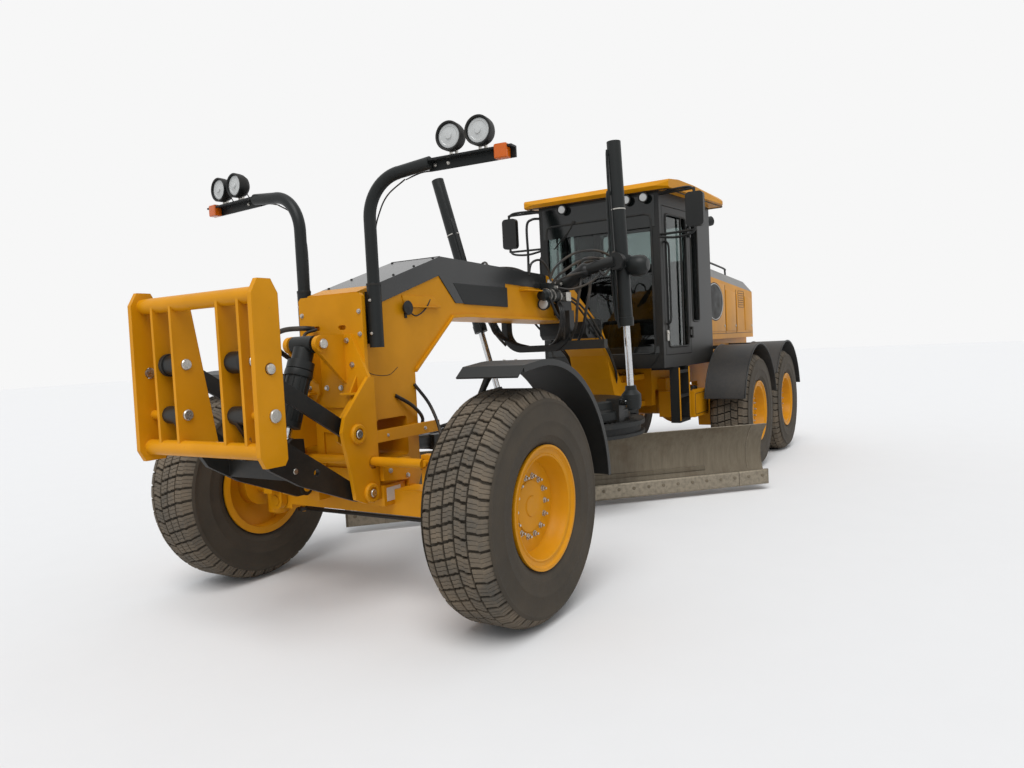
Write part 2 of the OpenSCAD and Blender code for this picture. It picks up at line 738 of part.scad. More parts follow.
module lean_bracket_shape() {
    difference() {
        union() {
            // Cheeks on the lean pin, and the shelf that holds the kingpin
            for (x = [-lean_x, lean_x - 49]) {
                block([x, lean_y - 60, lean_z], [x + 49, lean_y + 70, lean_z + 230]);
                translate([x, lean_y, lean_z]) rotate([0, 90, 0]) cylinder(h = 49, r = 60);
            }
            block([-lean_x, lean_y + 60, lean_z + 150], [lean_x, kingpin_y, lean_z + 230]);
            translate([0, kingpin_y, lean_z + 150]) cylinder(h = 80, r = 85);
            // Arm to the lean bar
            block([lean_x, lean_y - 40, lean_z + 60], [lean_bar_x - 33, lean_y + 40,
                lean_z + lean_bar_up + 45]);
        }
        translate([-200, lean_y, lean_z]) rotate([0, 90, 0])
            cylinder(h = 400, r = lean_pin_r + pin_gap);
        translate([0, kingpin_y, lean_z + 100]) cylinder(h = 150, r = kingpin_r + pin_gap);
        translate([100, lean_y, lean_z + lean_bar_up]) rotate([0, 90, 0])
            cylinder(h = 200, r = lean_bar_pin_r + pin_gap);
    }
}

module knuckle_shape() {
    translate([0, kingpin_y, arm_low_z]) cylinder(h = lean_z + 140 - arm_low_z, r = 70);
    translate([0, kingpin_y, lean_z + 100]) cylinder(h = 180, r = kingpin_r);
    translate([0, kingpin_y, lean_z + 236]) cylinder(h = 44, r = 60);
    y_pin(0, tyre_r, spindle_r, kingpin_y, front_y - 20);
    // Steering arm back to the tie rod's pin
    block([-tie_x, kingpin_y - 25, arm_low_z], [0, kingpin_y + 25, arm_low_z + 40]);
    translate([-tie_x, kingpin_y, arm_low_z]) cylinder(h = 40, r = 30);
    translate([-tie_x, kingpin_y, tie_z - 24]) cylinder(h = arm_low_z - tie_z + 24, r = tie_pin_r);
}

module lean_bracket_left() color(yellow) lean_bracket_shape();
module lean_bracket_right() color(yellow) mirror([0, 1, 0]) lean_bracket_shape();
module knuckle_left() color(yellow) knuckle_shape();
module knuckle_right() color(yellow) mirror([0, 1, 0]) knuckle_shape();

module lean_bar() color(yellow) {
    z = lean_z + lean_bar_up;
    bar([lean_bar_x, -lean_y, z], [lean_bar_x, lean_y, z], 28);
    for (y = [-lean_y, lean_y])
        translate([160, y, z]) rotate([0, 90, 0])
            cylinder(h = lean_bar_x - 160, r = lean_bar_pin_r);
}

// Yoke that turns on the left steering arm's pin and carries the tie rod's cross pin
module tie_yoke() color(black) translate([-tie_x, kingpin_y, tie_z]) {
    difference() {
        union() {
            translate([0, 0, -17]) cylinder(h = 34, r = 28);
            for (x = [-32, 21])
                block([x, -tie_cross - 16, -15], [x + 11, -16, 15]);
            block([-32, -34, -15], [32, -12, 15]);
        }
        translate([0, 0, -30]) cylinder(h = 60, r = tie_pin_r + pin_gap);
    }
    translate([-30, -tie_cross, 0]) rotate([0, 90, 0]) cylinder(h = 60, r = tie_cross_r);
}

module tie_rod() color(black) translate([-tie_x, 0, tie_z]) difference() {
    y = kingpin_y;
    union() {
        bar([0, -y + 40, 0], [0, y - tie_cross, 0], 15);
        translate([-19, y - tie_cross, 0]) rotate([0, 90, 0]) cylinder(h = 38, r = 20);
        translate([0, -y, -13]) cylinder(h = 26, r = tie_eye_r + 14);
    }
    translate([-25, y - tie_cross, 0]) rotate([0, 90, 0])
        cylinder(h = 50, r = tie_cross_r + pin_gap);
    // The eye at the right end is open: the rod drifts along its pin's way as the wheels lean
    translate([0, -y, -30]) cylinder(h = 60, r = tie_eye_r);
}

module fender_shape() {
    r = tyre_r + 112;
    y0 = 1010;
    y1 = 1400;
    t = 10;
    lift = 38;
    front_a = 84;
    translate([0, y1, tyre_r + lift]) rotate([90, 0, 0]) {
        rotate_extrude_band(r, t, y1 - y0, front_a, 179);
        // Side flange, and the flat top with its turned-down lip
        rotate_extrude_band(r - 26, 30, 8, front_a, 179);
        rotate([0, 0, front_a - 90]) {
            translate([0, r, 0]) cube([170, t, y1 - y0]);
            translate([0, r - 26, 0]) cube([170, 30, 8]);
            translate([170, r + t, 0]) rotate([0, 0, -32]) translate([0, -t, 0])
                cube([90, t, y1 - y0]);
        }
    }
    // Curved tube stay from the knuckle
    stay = [[-20, kingpin_y, lean_z + 285], [-20, kingpin_y + 30, 1180], [-60, 960, 1400],
        [-70, 1060, 1483]];
    for (i = [0 : 2])
        bar(stay[i], stay[i + 1], 19);
    for (i = [1, 2])
        translate(stay[i]) sphere(r = 19.5);
    block([-45, kingpin_y - 25, lean_z + 280], [5, kingpin_y + 25, lean_z + 310]);
}
module fender_left() color(black) fender_shape();
module fender_right() color(black) mirror([0, 1, 0]) fender_shape();

module saddle() color(black) {
    // Side plates on the frame
    both() xz_plate([[-2560, 1830], [-2330, 1830], [-2300, 2000], [-2340, 2150], [-2520, 2130]],
        frame_y + 34, 68);
    // Curved horns down to the lock bar below the frame
    horn_r = 150;
    both() {
        block([-2440, 250, 1790], [-2350, 360, 1870]);
        block([-2440, 300, 1720], [-2350, 360, 1800]);
        translate([-2440, 300 - horn_r, 1720]) rotate([90, 0, 90]) rotate([0, 0, -90])
            rotate_extrude(angle = 90, $fn = 96) translate([horn_r, 0]) square([60, 90]);
    }
    block([-2440, -150, 1510], [-2350, 150, 1570]);
    block([-2430, 150, 1520], [-2360, 680, 1600]);
    // Arms to the trunnions
    for (s = [lift_trunnion_l, lift_trunnion_r]) {
        side = sign(s[1]);
        knee = [-2440, side * 480, 2215];
        bar([-2430, side * 250, 2080], knee, 62);
        bar(knee, [s[0] + 138, s[1] - side * 10, s[2]], 52);
        translate(knee) sphere(r = 65);
        translate([s[0] + 80, s[1], s[2]]) rotate([0, 90, 0]) cylinder(h = 80, r = 76);
    }
}

module drawbar_local() {
    // Along -X from the ball, turned as a whole
    reach = circle_back - ball_back;
    z = ball_z;
    difference() {
        union() {
            sphere(r = ball_r);
            bar([-50, 0, 0], [-260, 0, -10], 50);
            for (s = [-1, 1])
                linear_prism([-230, s * 40], [-reach + 150, s * 520], 90, -70, 40);
            translate([-reach, 0, circle_top_z - z + 4]) cylinder(h = 50, r = 560, $fn = 96);
            block([-reach - 60, -560, circle_top_z - z + 54],
                [-reach + 180, 560, circle_top_z - z + 110]);
        }
        translate([-reach, 0, circle_top_z - z]) cylinder(h = 45, r = 180);
    }
}

// A straight beam on the plan line from a to b, w wide, from z0 to z1
module linear_prism(a, b, w, z0, z1) {
    d = b - a;
    translate([a[0], a[1], z0]) rotate([0, 0, atan2(d[1], d[0])])
        translate([0, -w / 2, 0]) cube([norm(d), w, z1 - z0]);
}

module drawbar() color(black) {
    translate([-ball_back, 0, ball_z]) rotate([0, 0, -drawbar_turn]) drawbar_local();
    for (b = [lift_ball_l, lift_ball_r]) {
        side = sign(b[1]);
        translate(b) sphere(r = 40);
        bar([b[0], b[1] - side * 120, b[2]], [b[0], b[1] - side * 30, b[2]], 24);
        block([b[0] - 60, min(b[1] - side * 220, b[1] - side * 100), circle_top_z + 4],
            [b[0] + 60, max(b[1] - side * 220, b[1] - side * 100), b[2] + 40]);
    }
}

module at_circle() translate([-circle_back, circle_left, 0]) children();
module at_blade() at_circle() rotate([0, 0, blade_turn]) children();

// Closed line along the tips, flanks and roots of the inner teeth
function tooth_line() = [for (i = [0 : teeth - 1])
    for (c = [[0, 0], [0.28, 0], [0.42, 1], [0.86, 1]])
        let (a = 360 * (i + c[0]) / teeth, r = tooth_root_r - tooth_h * (1 - c[1]))
            [r * cos(a), r * sin(a)]];

module circle_gear() color(dark_grey) {
    at_circle() {
        // Ring with its rim, and the teeth inside that the pinion turns it by
        translate([0, 0, circle_z]) difference() {
            linear_extrude(circle_top_z - circle_z) difference() {
                circle(r = circle_r, $fn = 96);
                polygon(tooth_line());
            }
            translate([0, 0, 28]) difference() {
                cylinder(h = 62, r = circle_r + 1, $fn = 96);
                translate([0, 0, -1]) cylinder(h = 64, r = circle_r - 36, $fn = 96);
            }
        }
        translate([0, 0, circle_top_z - 40]) cylinder(h = 40, r = 200);
        for (a = [0, 120, 240])
            rotate([0, 0, a]) block([100, -60, circle_top_z - 40],
                [circle_r - 60, 60, circle_top_z]);
    }
    // Legs down to the moldboard's pivot
    at_blade() for (y = [-leg_y, leg_y])
        difference() {
            union() {
                block([-pitch_back - 55, y - 35, pitch_z], [-pitch_back + 28, y + 35,
                    circle_z + 10]);
                y_pin(-pitch_back, pitch_z, 45, y - 35, y + 35);
                block([-pitch_back - 200, y - 35, circle_z - 110],
                    [-pitch_back + 28, y + 35, circle_z + 10]);
            }
            y_pin(-pitch_back, pitch_z, pitch_pin_r + pin_gap, y - 60, y + 60);
        }
}

module blade_arms() color(black) {
    at_blade() for (s = [-1, 1]) {
        y = s * (leg_y + 75);
        y_pin(-pitch_back, pitch_z, pitch_pin_r, min(s * (leg_y - 45), y),
            max(s * (leg_y - 45), y));
        xz_plate([[-pitch_back - 50, pitch_z - 40], [-pitch_back - 50, pitch_z + 50],
            [rail_x - 1, rail_top + 20], [rail_x - 1, rail_low - 20],
            [-pitch_back - 40, rail_low - 20]], y, 60);
    }
}

module moldboard_profile() {
    r = blade_curve_r;
    zc = blade_z + blade_h / 2;
    depth = sqrt(r * r - blade_h * blade_h / 4);
    difference() {
        intersection() {
            translate([depth, zc]) circle(r = r + blade_t);
            translate([-200, blade_z]) square([depth + 200, blade_h]);
        }
        translate([depth, zc]) circle(r = r);
        translate([0, blade_z - 10]) square([depth + 400, blade_h + 20]);
    }
    translate([-blade_t, blade_z]) square([blade_t, 150]);
}

module moldboard_rails() {
    at_blade() for (z = [rail_low, rail_top])
        block([rail_x, -rail_len / 2, z - 20], [rail_x + 65, rail_len / 2, z + 20]);
}

module moldboard() color(steel) {
    at_blade() translate([blade_ahead, blade_len / 2, 0]) rotate([90, 0, 0])
        linear_extrude(blade_len) moldboard_profile();
    moldboard_rails();
}

module lift_barrel(t, b) {
    d = (b - t) / norm(b - t);
    difference() {
        union() {
            bar(t - d * barrel_up, t + d * barrel_down, cyl_r);
            translate(t) rotate([0, 90, 0]) translate([0, 0, -100]) cylinder(h = 174, r = 40);
        }
        bar(t - d * 160, t + d * (barrel_down + 20), cyl_rod_r + 1);
    }
}

module lift_rod(t, b) {
    d = (b - t) / norm(b - t);
    difference() {
        union() {
            bar(t + d * (barrel_down - 290), b - d * 55, cyl_rod_r);
            translate(b - d * 10) sphere(r = 72);
        }
        translate(b) sphere(r = 56);
        bar(b, b + d * 200, 90);
        rotate_to_side(b) cylinder(h = 200, r = 58);
    }
}
module rotate_to_side(b) translate(b) rotate([sign(b[1]) * 90, 0, 0]) children();

module lift_barrel_left() color(dark_grey) lift_barrel(lift_trunnion_l, lift_ball_l);
module lift_barrel_right() color(dark_grey) lift_barrel(lift_trunnion_r, lift_ball_r);
module lift_rod_left() color(chrome) lift_rod(lift_trunnion_l, lift_ball_l);
module lift_rod_right() color(chrome) lift_rod(lift_trunnion_r, lift_ball_r);

module xz(p, y = 0) translate([p[0], y, p[1]]) children();

module lower_arm() color(black) {
    difference() {
        union() {
            both() {
                // Deep plates from the arm pins to the carrier pins
                xz_plate([[258, 700], [355, 701], [784, 875], [984, 993],
                    [carrier_low[0] + 40, carrier_low[1] - 30],
                    [carrier_low[0] + 10, carrier_low[1] + 46],
                    [carrier_low[0] - 40, carrier_low[1] + 30],
                    [845, 1119], [378, 816], [258, 796]], link_y, 30);
                y_pin(arm_pin[0], arm_pin[1], 50, 232, 268);
                y_pin(carrier_low[0], carrier_low[1], 48, 204, 334);
            }
            block([780, -link_y - 15, 915], [850, link_y + 15, 1010]);
            both() xz_plate([[cyl_foot[0] - 50, 1030], [cyl_foot[0] - 45, 1110],
                [cyl_foot[0] + 40, 1120], [850, 1010], [850, 915], [780, 915], [720, 960]],
                110, 26);
        }
        y_pin(arm_pin[0], arm_pin[1], lift_pin_r + pin_gap, -500, 500);
        y_pin(carrier_low[0], carrier_low[1], lift_pin_r + pin_gap, -500, 500);
        both() y_pin(661, 929, 21, 200, 300);
    }
    both() y_pin(cyl_foot[0], cyl_foot[1], lift_pin_r, 65, 122);
}

module upper_links() color(black) both() {
    d = carrier_high - link_pin;
    side = 46 * [-d[1], d[0]] / norm(d);
    difference() {
        union() {
            // Flat bar, with a wide eye that fills the carrier's ribs
            xz_plate([link_pin - side, link_pin + side, carrier_high + side,
                carrier_high - side], link_y, 24);
            y_pin(link_pin[0], link_pin[1], 46, link_y - 22, link_y + 22);
            y_pin(carrier_high[0], carrier_high[1], 56, 204, 334);
        }
        // The eye at the carrier is open: it drifts round its pin as the group is lowered
        y_pin(link_pin[0], link_pin[1], lift_pin_r + pin_gap, link_y - 40, link_y + 40);
        y_pin(carrier_high[0], carrier_high[1], link_eye_r, 180, 360);
    }
}

module carrier() color(yellow) {
    front = 1190;
    top = 1970;
    foot = 1050;
    both() {
        difference() {
            xz_plate([[1065, foot + 30], [1065, top - 70], [1105, top], [1185, top],
                [1225, top - 70], [1232, foot + 60], [1200, foot], [1085, foot]],
                carrier_y - 15, 30);
            y_pin(carrier_hole[0], carrier_hole[1], carrier_hole_r, 400, 600);
        }
        for (y = [190, 348])
            xz_plate([[front, 1120], [front, 1900], [front - 117, 1900],
                [front - 240, 1120]], y, 20);
        y_pin(carrier_low[0], carrier_low[1], lift_pin_r, 185, carrier_y);
        y_pin(carrier_high[0], carrier_high[1], lift_pin_r, 185, 353);
    }
    y_pin(1150, 1895, carrier_tube_r, -carrier_y + 30, carrier_y - 30);
    y_pin(1160, 1125, carrier_tube_r, -carrier_y + 30, carrier_y - 30);
}

module front_cylinder() color(dark_grey) {
    t = [cyl_top[0], 0, cyl_top[1]];
    b = [cyl_foot[0], 0, cyl_foot[1]];
    d = (b - t) / norm(b - t);
    difference() {
        union() {
            bar(t + d * 30, t + d * 130, 62);
            bar(t + d * 110, t + d * 160, 80);
            bar(t + d * 150, t + d * 500, 72);
            y_pin(cyl_top[0], cyl_top[1], 52, -85, 85);
        }
        y_pin(cyl_top[0], cyl_top[1], lift_pin_r + pin_gap, -100, 100);
        bar(t + d * 100, t + d * 520, 36);
    }
}

module front_rod() color(chrome) {
    t = [cyl_top[0], 0, cyl_top[1]];
    b = [cyl_foot[0], 0, cyl_foot[1]];
    d = (b - t) / norm(b - t);
    bar(t + d * 145, b - d * 20, 35);
    y_pin(cyl_foot[0], cyl_foot[1], 45, -60, 60);
}

place() rear_chassis();
place() cab_frame();
place() cab_roof();
place() cab_glass();
place() cab_interior();
place() engine_hood();
place() hood_top();
place() engine_block();
place() rear_grille();
place() exhaust_stack();
place() rear_axle();
place() rear_fenders();
place() cab_steps();
place() door_left();
place() door_left_glass();
place() door_right();
place() door_right_glass();
place() rim(fore_x, rear_y, 1);  // rim_left_fore
place() tyre(fore_x, rear_y, 1);  // tyre_left_fore
place() rim(aft_x, rear_y, 1);  // rim_left_aft
place() tyre(aft_x, rear_y, 1);  // tyre_left_aft
place() rim(fore_x, rear_y, -1);  // rim_right_fore
place() tyre(fore_x, rear_y, -1);  // tyre_right_fore
place() rim(aft_x, rear_y, -1);  // rim_right_aft
place() tyre(aft_x, rear_y, -1);  // tyre_right_aft
place() front_frame();
place() frame_cover();
place() lift_bracket();
place() light_masts();
place() front_axle();
place() saddle();
place() lean_bracket_left();
place() lean_bracket_right();
place() lean_bar();
place() knuckle_left();
place() knuckle_right();
place() fender_left();
place() fender_right();
place() tie_yoke();
place() tie_rod();
place() rim(0, front_y, 1);  // rim_front_left
place() tyre(0, front_y, 1);  // tyre_front_left
place() rim(0, front_y, -1);  // rim_front_right
place() tyre(0, front_y, -1);  // tyre_front_right
place() drawbar();
place() circle_gear();
place() blade_arms();
place() moldboard();
place() lift_barrel_left();
place() lift_rod_left();
place() lift_barrel_right();
place() lift_rod_right();
place() lower_arm();
place() upper_links();
place() carrier();
place() front_cylinder();
place() front_rod();
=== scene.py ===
"""Looks of a motor grader with a front lift group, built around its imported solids.

Places are written in machine coordinates, in metres: from the front axle, +X ahead, +Y to the left
and +Z up from the ground. at() brings them into the frame of the part.
"""

import math
from functools import partial

import bmesh
import bpy
from mathutils import Matrix, Vector


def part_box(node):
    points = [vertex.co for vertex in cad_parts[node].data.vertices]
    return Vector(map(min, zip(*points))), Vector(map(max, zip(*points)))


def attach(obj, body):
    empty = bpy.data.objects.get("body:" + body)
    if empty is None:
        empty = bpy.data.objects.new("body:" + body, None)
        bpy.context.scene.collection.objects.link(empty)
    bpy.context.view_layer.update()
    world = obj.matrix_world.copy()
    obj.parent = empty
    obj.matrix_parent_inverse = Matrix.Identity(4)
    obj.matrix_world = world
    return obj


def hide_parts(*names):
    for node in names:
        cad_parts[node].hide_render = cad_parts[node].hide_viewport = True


bl_info = {
    "name": "Motor Grader",
    "version": (1, 0, 0),
    "blender": (4, 5, 0),
    "location": "View3D > Sidebar > Grader",
    "description": "Tyres, lamps, cab fittings, hoses and finishes of a motor grader",
    "category": "Add Mesh",
}

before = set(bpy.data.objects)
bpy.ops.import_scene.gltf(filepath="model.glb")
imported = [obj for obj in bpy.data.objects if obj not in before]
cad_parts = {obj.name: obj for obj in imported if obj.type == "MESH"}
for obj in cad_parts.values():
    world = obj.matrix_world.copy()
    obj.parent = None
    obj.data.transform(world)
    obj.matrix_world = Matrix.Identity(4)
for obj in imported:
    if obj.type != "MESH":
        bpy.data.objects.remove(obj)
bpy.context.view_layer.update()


def middle(node):
    """Centre of a node's box."""
    low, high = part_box(node)
    return (low + high) / 2


TYRE_LOW, TYRE_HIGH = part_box("tyre_front_left")
AXLE_X = middle("tyre_front_left").x
PLANE_Y = (middle("tyre_front_left").y + middle("tyre_front_right").y) / 2
PLACE = Vector((AXLE_X, PLANE_Y, 0))
TYRE_R = (TYRE_HIGH.z - TYRE_LOW.z) / 2
TYRE_W = TYRE_HIGH.y - TYRE_LOW.y

# Each wheel's tyre, its body and the side that its dish faces
WHEELS = [
    ("tyre_front_left", "wheel_front_left", 1),
    ("tyre_front_right", "wheel_front_right", -1),
    ("tyre_left_fore", "wheel_left_fore", 1),
    ("tyre_left_aft", "wheel_left_aft", 1),
    ("tyre_right_fore", "wheel_right_fore", -1),
    ("tyre_right_aft", "wheel_right_aft", -1),
]

# Names of the sides, each with the sign of its Y
SIDES = (("left", 1), ("right", -1))
ORIGIN = (0, 0, 0)
AHEAD, BACK, LEFT = (1, 0, 0), (-1, 0, 0), (0, 1, 0)
UP, DOWN = (0, 0, 1), (0, 0, -1)
# Radius of the tiny ring that closes a turned shape on its axis
POLE = 1e-5


def at(x, y, z):
    """A machine point in the frame of the part."""
    return Vector((x, y, z)) + PLACE


# Settings


class GraderFinish(bpy.types.PropertyGroup):
    yellow: bpy.props.FloatVectorProperty(
        name="Yellow", description="Machine yellow", subtype="COLOR", size=3,
        default=(0.60, 0.250, 0.002), min=0, max=1)
    black: bpy.props.FloatVectorProperty(
        name="Black", description="Black steelwork", subtype="COLOR", size=3,
        default=(0.006, 0.007, 0.007), min=0, max=1)
    grey: bpy.props.FloatVectorProperty(
        name="Dark grey", description="Masts, covers and barrels", subtype="COLOR", size=3,
        default=(0.012, 0.014, 0.014), min=0, max=1)
    dust: bpy.props.FloatVectorProperty(
        name="Dust", description="Road dust on everything", subtype="COLOR", size=3,
        default=(0.30, 0.22, 0.14), min=0, max=1)


class GraderTread(bpy.types.PropertyGroup):
    rows: bpy.props.IntProperty(
        name="Rows", description="Rows of blocks round a tyre", default=46, min=20, max=60)
    depth: bpy.props.FloatProperty(
        name="Depth", description="Depth of the grooves", default=0.021, min=0.005, max=0.03,
        unit="LENGTH")
    gap: bpy.props.FloatProperty(
        name="Groove", description="Width of a groove", default=0.016, min=0.004, max=0.02,
        unit="LENGTH")


class GraderStage(bpy.types.PropertyGroup):
    lens: bpy.props.FloatProperty(
        name="Lens", description="Focal length on a 36 mm wide sensor, in millimetres",
        default=26.24, min=15, max=80)
    stand: bpy.props.FloatVectorProperty(
        name="Camera", description="Where the camera stands, in machine coordinates",
        subtype="XYZ", size=3, default=(3.613, 3.387, 1.595), unit="LENGTH")
    heading: bpy.props.FloatVectorProperty(
        name="Heading", description="Yaw, pitch and roll of the camera", subtype="EULER", size=3,
        default=(math.radians(211.556), math.radians(-3.063), math.radians(-2.784)))


# Shader helpers


def coordinates(tree, scale=(1, 1, 1)):
    """Object coordinates, scaled along each axis."""
    source = tree.nodes.new("ShaderNodeTexCoord")
    mapping = tree.nodes.new("ShaderNodeMapping")
    mapping.inputs["Scale"].default_value = scale
    tree.links.new(source.outputs["Object"], mapping.inputs["Vector"])
    return mapping.outputs["Vector"]


def noise(tree, vector, scale, detail=4.0, roughness=0.55):
    """A noise field of the given scale."""
    node = tree.nodes.new("ShaderNodeTexNoise")
    node.inputs["Scale"].default_value = scale
    node.inputs["Detail"].default_value = detail
    node.inputs["Roughness"].default_value = roughness
    tree.links.new(vector, node.inputs["Vector"])
    return node.outputs["Fac"]


def span(tree, value, low, high, out_low=0.0, out_high=1.0):
    """A value mapped from one range to another, and held there."""
    node = tree.nodes.new("ShaderNodeMapRange")
    names = ("From Min", "From Max", "To Min", "To Max")
    for name, number in zip(names, (low, high, out_low, out_high)):
        node.inputs[name].default_value = number
    tree.links.new(value, node.inputs["Value"])
    return node.outputs["Result"]


def combine(tree, operation, a, b):
    """Two values joined by a math operation; either may be a number."""
    node = tree.nodes.new("ShaderNodeMath")
    node.operation = operation
    for socket, value in zip(node.inputs, (a, b)):
        if isinstance(value, (int, float)):
            socket.default_value = value
        else:
            tree.links.new(value, socket)
    return node.outputs[0]


def tint(tree, factor, a, b):
    """Colour a, turning to colour b with the factor; either may be a socket."""
    node = tree.nodes.new("ShaderNodeMix")
    node.data_type = "RGBA"
    tree.links.new(factor, node.inputs["Factor"])
    for name, value in (("A", a), ("B", b)):
        socket = next(s for s in node.inputs if s.name == name and s.type == "RGBA")
        if isinstance(value, tuple):
            socket.default_value = (*value, 1)
        else:
            tree.links.new(value, socket)
    return next(s for s in node.outputs if s.type == "RGBA")


def start_material(name):
    """A material with one Principled shader."""
    material = bpy.data.materials.new(name)
    material.use_nodes = True
    return material, material.node_tree, material.node_tree.nodes["Principled BSDF"]


def relief(tree, shader, height, strength, distance, edge=0.0):
    """Bump from a height field, over edges that look rounded by the given radius."""
    bump = tree.nodes.new("ShaderNodeBump")
    bump.inputs["Strength"].default_value = strength
    bump.inputs["Distance"].default_value = distance
    tree.links.new(height, bump.inputs["Height"])
    if edge:
        bevel = tree.nodes.new("ShaderNodeBevel")
        bevel.samples = 4
        bevel.inputs["Radius"].default_value = edge
        tree.links.new(bevel.outputs["Normal"], bump.inputs["Normal"])
    tree.links.new(bump.outputs["Normal"], shader.inputs["Normal"])


def shade(colour, factor):
    """A colour made darker or lighter."""
    return tuple(min(1, channel * factor) for channel in colour)


# Finishes


def painted_steel(name, colour, rough=0.38, dust=0.35, chips=0.0, edge=0.004, shine=0.5):
    """Paint with cloudy fading, dust that thickens towards the ground, and chips where it is knocked."""
    dusty = tuple(bpy.context.scene.grader_finish.dust)
    material, tree, shader = start_material(name)
    place = coordinates(tree)
    cloud = noise(tree, place, 2.1, 5)
    fine = noise(tree, place, 38, 6, 0.65)
    split = tree.nodes.new("ShaderNodeSeparateXYZ")
    tree.links.new(place, split.inputs[0])
    low = span(tree, split.outputs["Z"], 0.2, 2.2, dust, dust * 0.22)
    speckled = combine(tree, "ADD", cloud, combine(tree, "MULTIPLY", fine, 0.6))
    patches = span(tree, speckled, 0.62, 1.0)
    grime = combine(tree, "MULTIPLY", patches, low)
    faded = tint(tree, span(tree, cloud, 0.35, 0.7), shade(colour, 0.88), shade(colour, 1.10))
    coat = tint(tree, grime, faded, dusty)
    roughness = combine(tree, "ADD", rough, combine(tree, "MULTIPLY", grime, 0.45))
    if chips:
        spots = noise(tree, coordinates(tree, (1, 1, 0.6)), 26, 7, 0.7)
        bare = span(tree, spots, 0.80 - chips * 0.22, 0.83 - chips * 0.22)
        coat = tint(tree, bare, coat, (0.055, 0.045, 0.036))
        roughness = combine(tree, "ADD", roughness, combine(tree, "MULTIPLY", bare, 0.2))
    tree.links.new(coat, shader.inputs["Base Color"])
    tree.links.new(roughness, shader.inputs["Roughness"])
    shader.inputs["Specular IOR Level"].default_value = shine
    relief(tree, shader, noise(tree, place, 160, 3), 0.10, 0.0012, edge)
    return material


def tyre_rubber(name, colour, dust):
    """Rubber greyed by dust in patches."""
    dusty = tuple(bpy.context.scene.grader_finish.dust)
    material, tree, shader = start_material(name)
    place = coordinates(tree)
    cloud = noise(tree, place, 5, 6, 0.6)
    grit = noise(tree, place, 70, 6, 0.7)
    speckled = combine(tree, "ADD", cloud, combine(tree, "MULTIPLY", grit, 0.7))
    mask = span(tree, speckled, 0.62, 1.05, 0.08, dust)
    tree.links.new(tint(tree, mask, colour, dusty), shader.inputs["Base Color"])
    tree.links.new(span(tree, grit, 0.3, 0.7, 0.72, 0.95), shader.inputs["Roughness"])
    shader.inputs["Specular IOR Level"].default_value = 0.25
    relief(tree, shader, grit, 0.5, 0.003)
    return material


def worn_steel(name):
    """Blade steel: scoured bright and brown in streaks that run up the curve."""
    material, tree, shader = start_material(name)
    streak = noise(tree, coordinates(tree, (9, 9, 0.9)), 3.0, 7, 0.65)
    rust = noise(tree, coordinates(tree), 3.2, 6, 0.6)
    scratch = noise(tree, coordinates(tree, (60, 60, 2)), 2.0, 5, 0.7)
    bright = tint(tree, span(tree, streak, 0.30, 0.72), (0.120, 0.096, 0.064), (0.175, 0.145, 0.100))
    coat = tint(tree, span(tree, rust, 0.55, 0.80), bright, (0.10, 0.068, 0.040))
    tree.links.new(coat, shader.inputs["Base Color"])
    tree.links.new(span(tree, scratch, 0.3, 0.7, 0.38, 0.68), shader.inputs["Roughness"])
    shader.inputs["Metallic"].default_value = 0.35
    relief(tree, shader, scratch, 0.25, 0.002, 0.003)
    return material


def bright_metal(name, colour, rough, grain=90):
    """Plated or ground metal with fine wear."""
    material, tree, shader = start_material(name)
    place = coordinates(tree)
    wear = noise(tree, place, grain, 4)
    coat = tint(tree, span(tree, wear, 0.4, 0.75), colour, shade(colour, 0.7))
    tree.links.new(coat, shader.inputs["Base Color"])
    tree.links.new(span(tree, wear, 0.3, 0.8, rough * 0.7, rough * 1.5), shader.inputs["Roughness"])
    shader.inputs["Metallic"].default_value = 0.95
    relief(tree, shader, wear, 0.08, 0.0006, 0.0015)
    return material


def moulded_black(name, colour=(0.007, 0.008, 0.008), rough=0.5, dust=0.06):
    """Moulded plastic or rubber with a fine grain and a film of dust."""
    dusty = tuple(bpy.context.scene.grader_finish.dust)
    material, tree, shader = start_material(name)
    place = coordinates(tree)
    film = noise(tree, place, 6, 6, 0.6)
    mask = span(tree, film, 0.42, 0.75, 0.0, dust)
    tree.links.new(tint(tree, mask, colour, dusty), shader.inputs["Base Color"])
    roughness = span(tree, film, 0.35, 0.7, rough * 0.85, min(1, rough * 1.35))
    tree.links.new(roughness, shader.inputs["Roughness"])
    shader.inputs["Specular IOR Level"].default_value = 0.3
    relief(tree, shader, noise(tree, place, 420, 2), 0.15, 0.0006, 0.002)
    return material


def clear_glass(name, colour, rough=0.0):
    """Tinted glass with a faint film of dust."""
    material, tree, shader = start_material(name)
    film = noise(tree, coordinates(tree), 4, 6, 0.65)
    coat = tint(tree, span(tree, film, 0.4, 0.8), colour, shade(colour, 0.82))
    tree.links.new(coat, shader.inputs["Base Color"])
    shader.inputs["Roughness"].default_value = rough
    shader.inputs["Transmission Weight"].default_value = 1.0
    shader.inputs["IOR"].default_value = 1.45
    return material


def lamp_lens(name, colour, ribs):
    """Moulded lens with fine vertical ribs, bumped, and painted in light and dark bands along them: the
    bands are painted reflections.
    """
    material, tree, shader = start_material(name)
    place = coordinates(tree)
    wave = tree.nodes.new("ShaderNodeTexWave")
    wave.bands_direction = "Y"
    wave.inputs["Scale"].default_value = ribs
    tree.links.new(place, wave.inputs["Vector"])
    # Painted reflections: the colour turns darker and lighter in bands along the ribs.
    tree.links.new(tint(tree, wave.outputs["Fac"], colour, shade(colour, 0.7)), shader.inputs["Base Color"])
    shader.inputs["Roughness"].default_value = 0.12
    shader.inputs["Coat Weight"].default_value = 0.25
    shader.inputs["Specular IOR Level"].default_value = 0.3
    relief(tree, shader, wave.outputs["Fac"], 0.3, 0.002)
    return material


FINISHES = {}


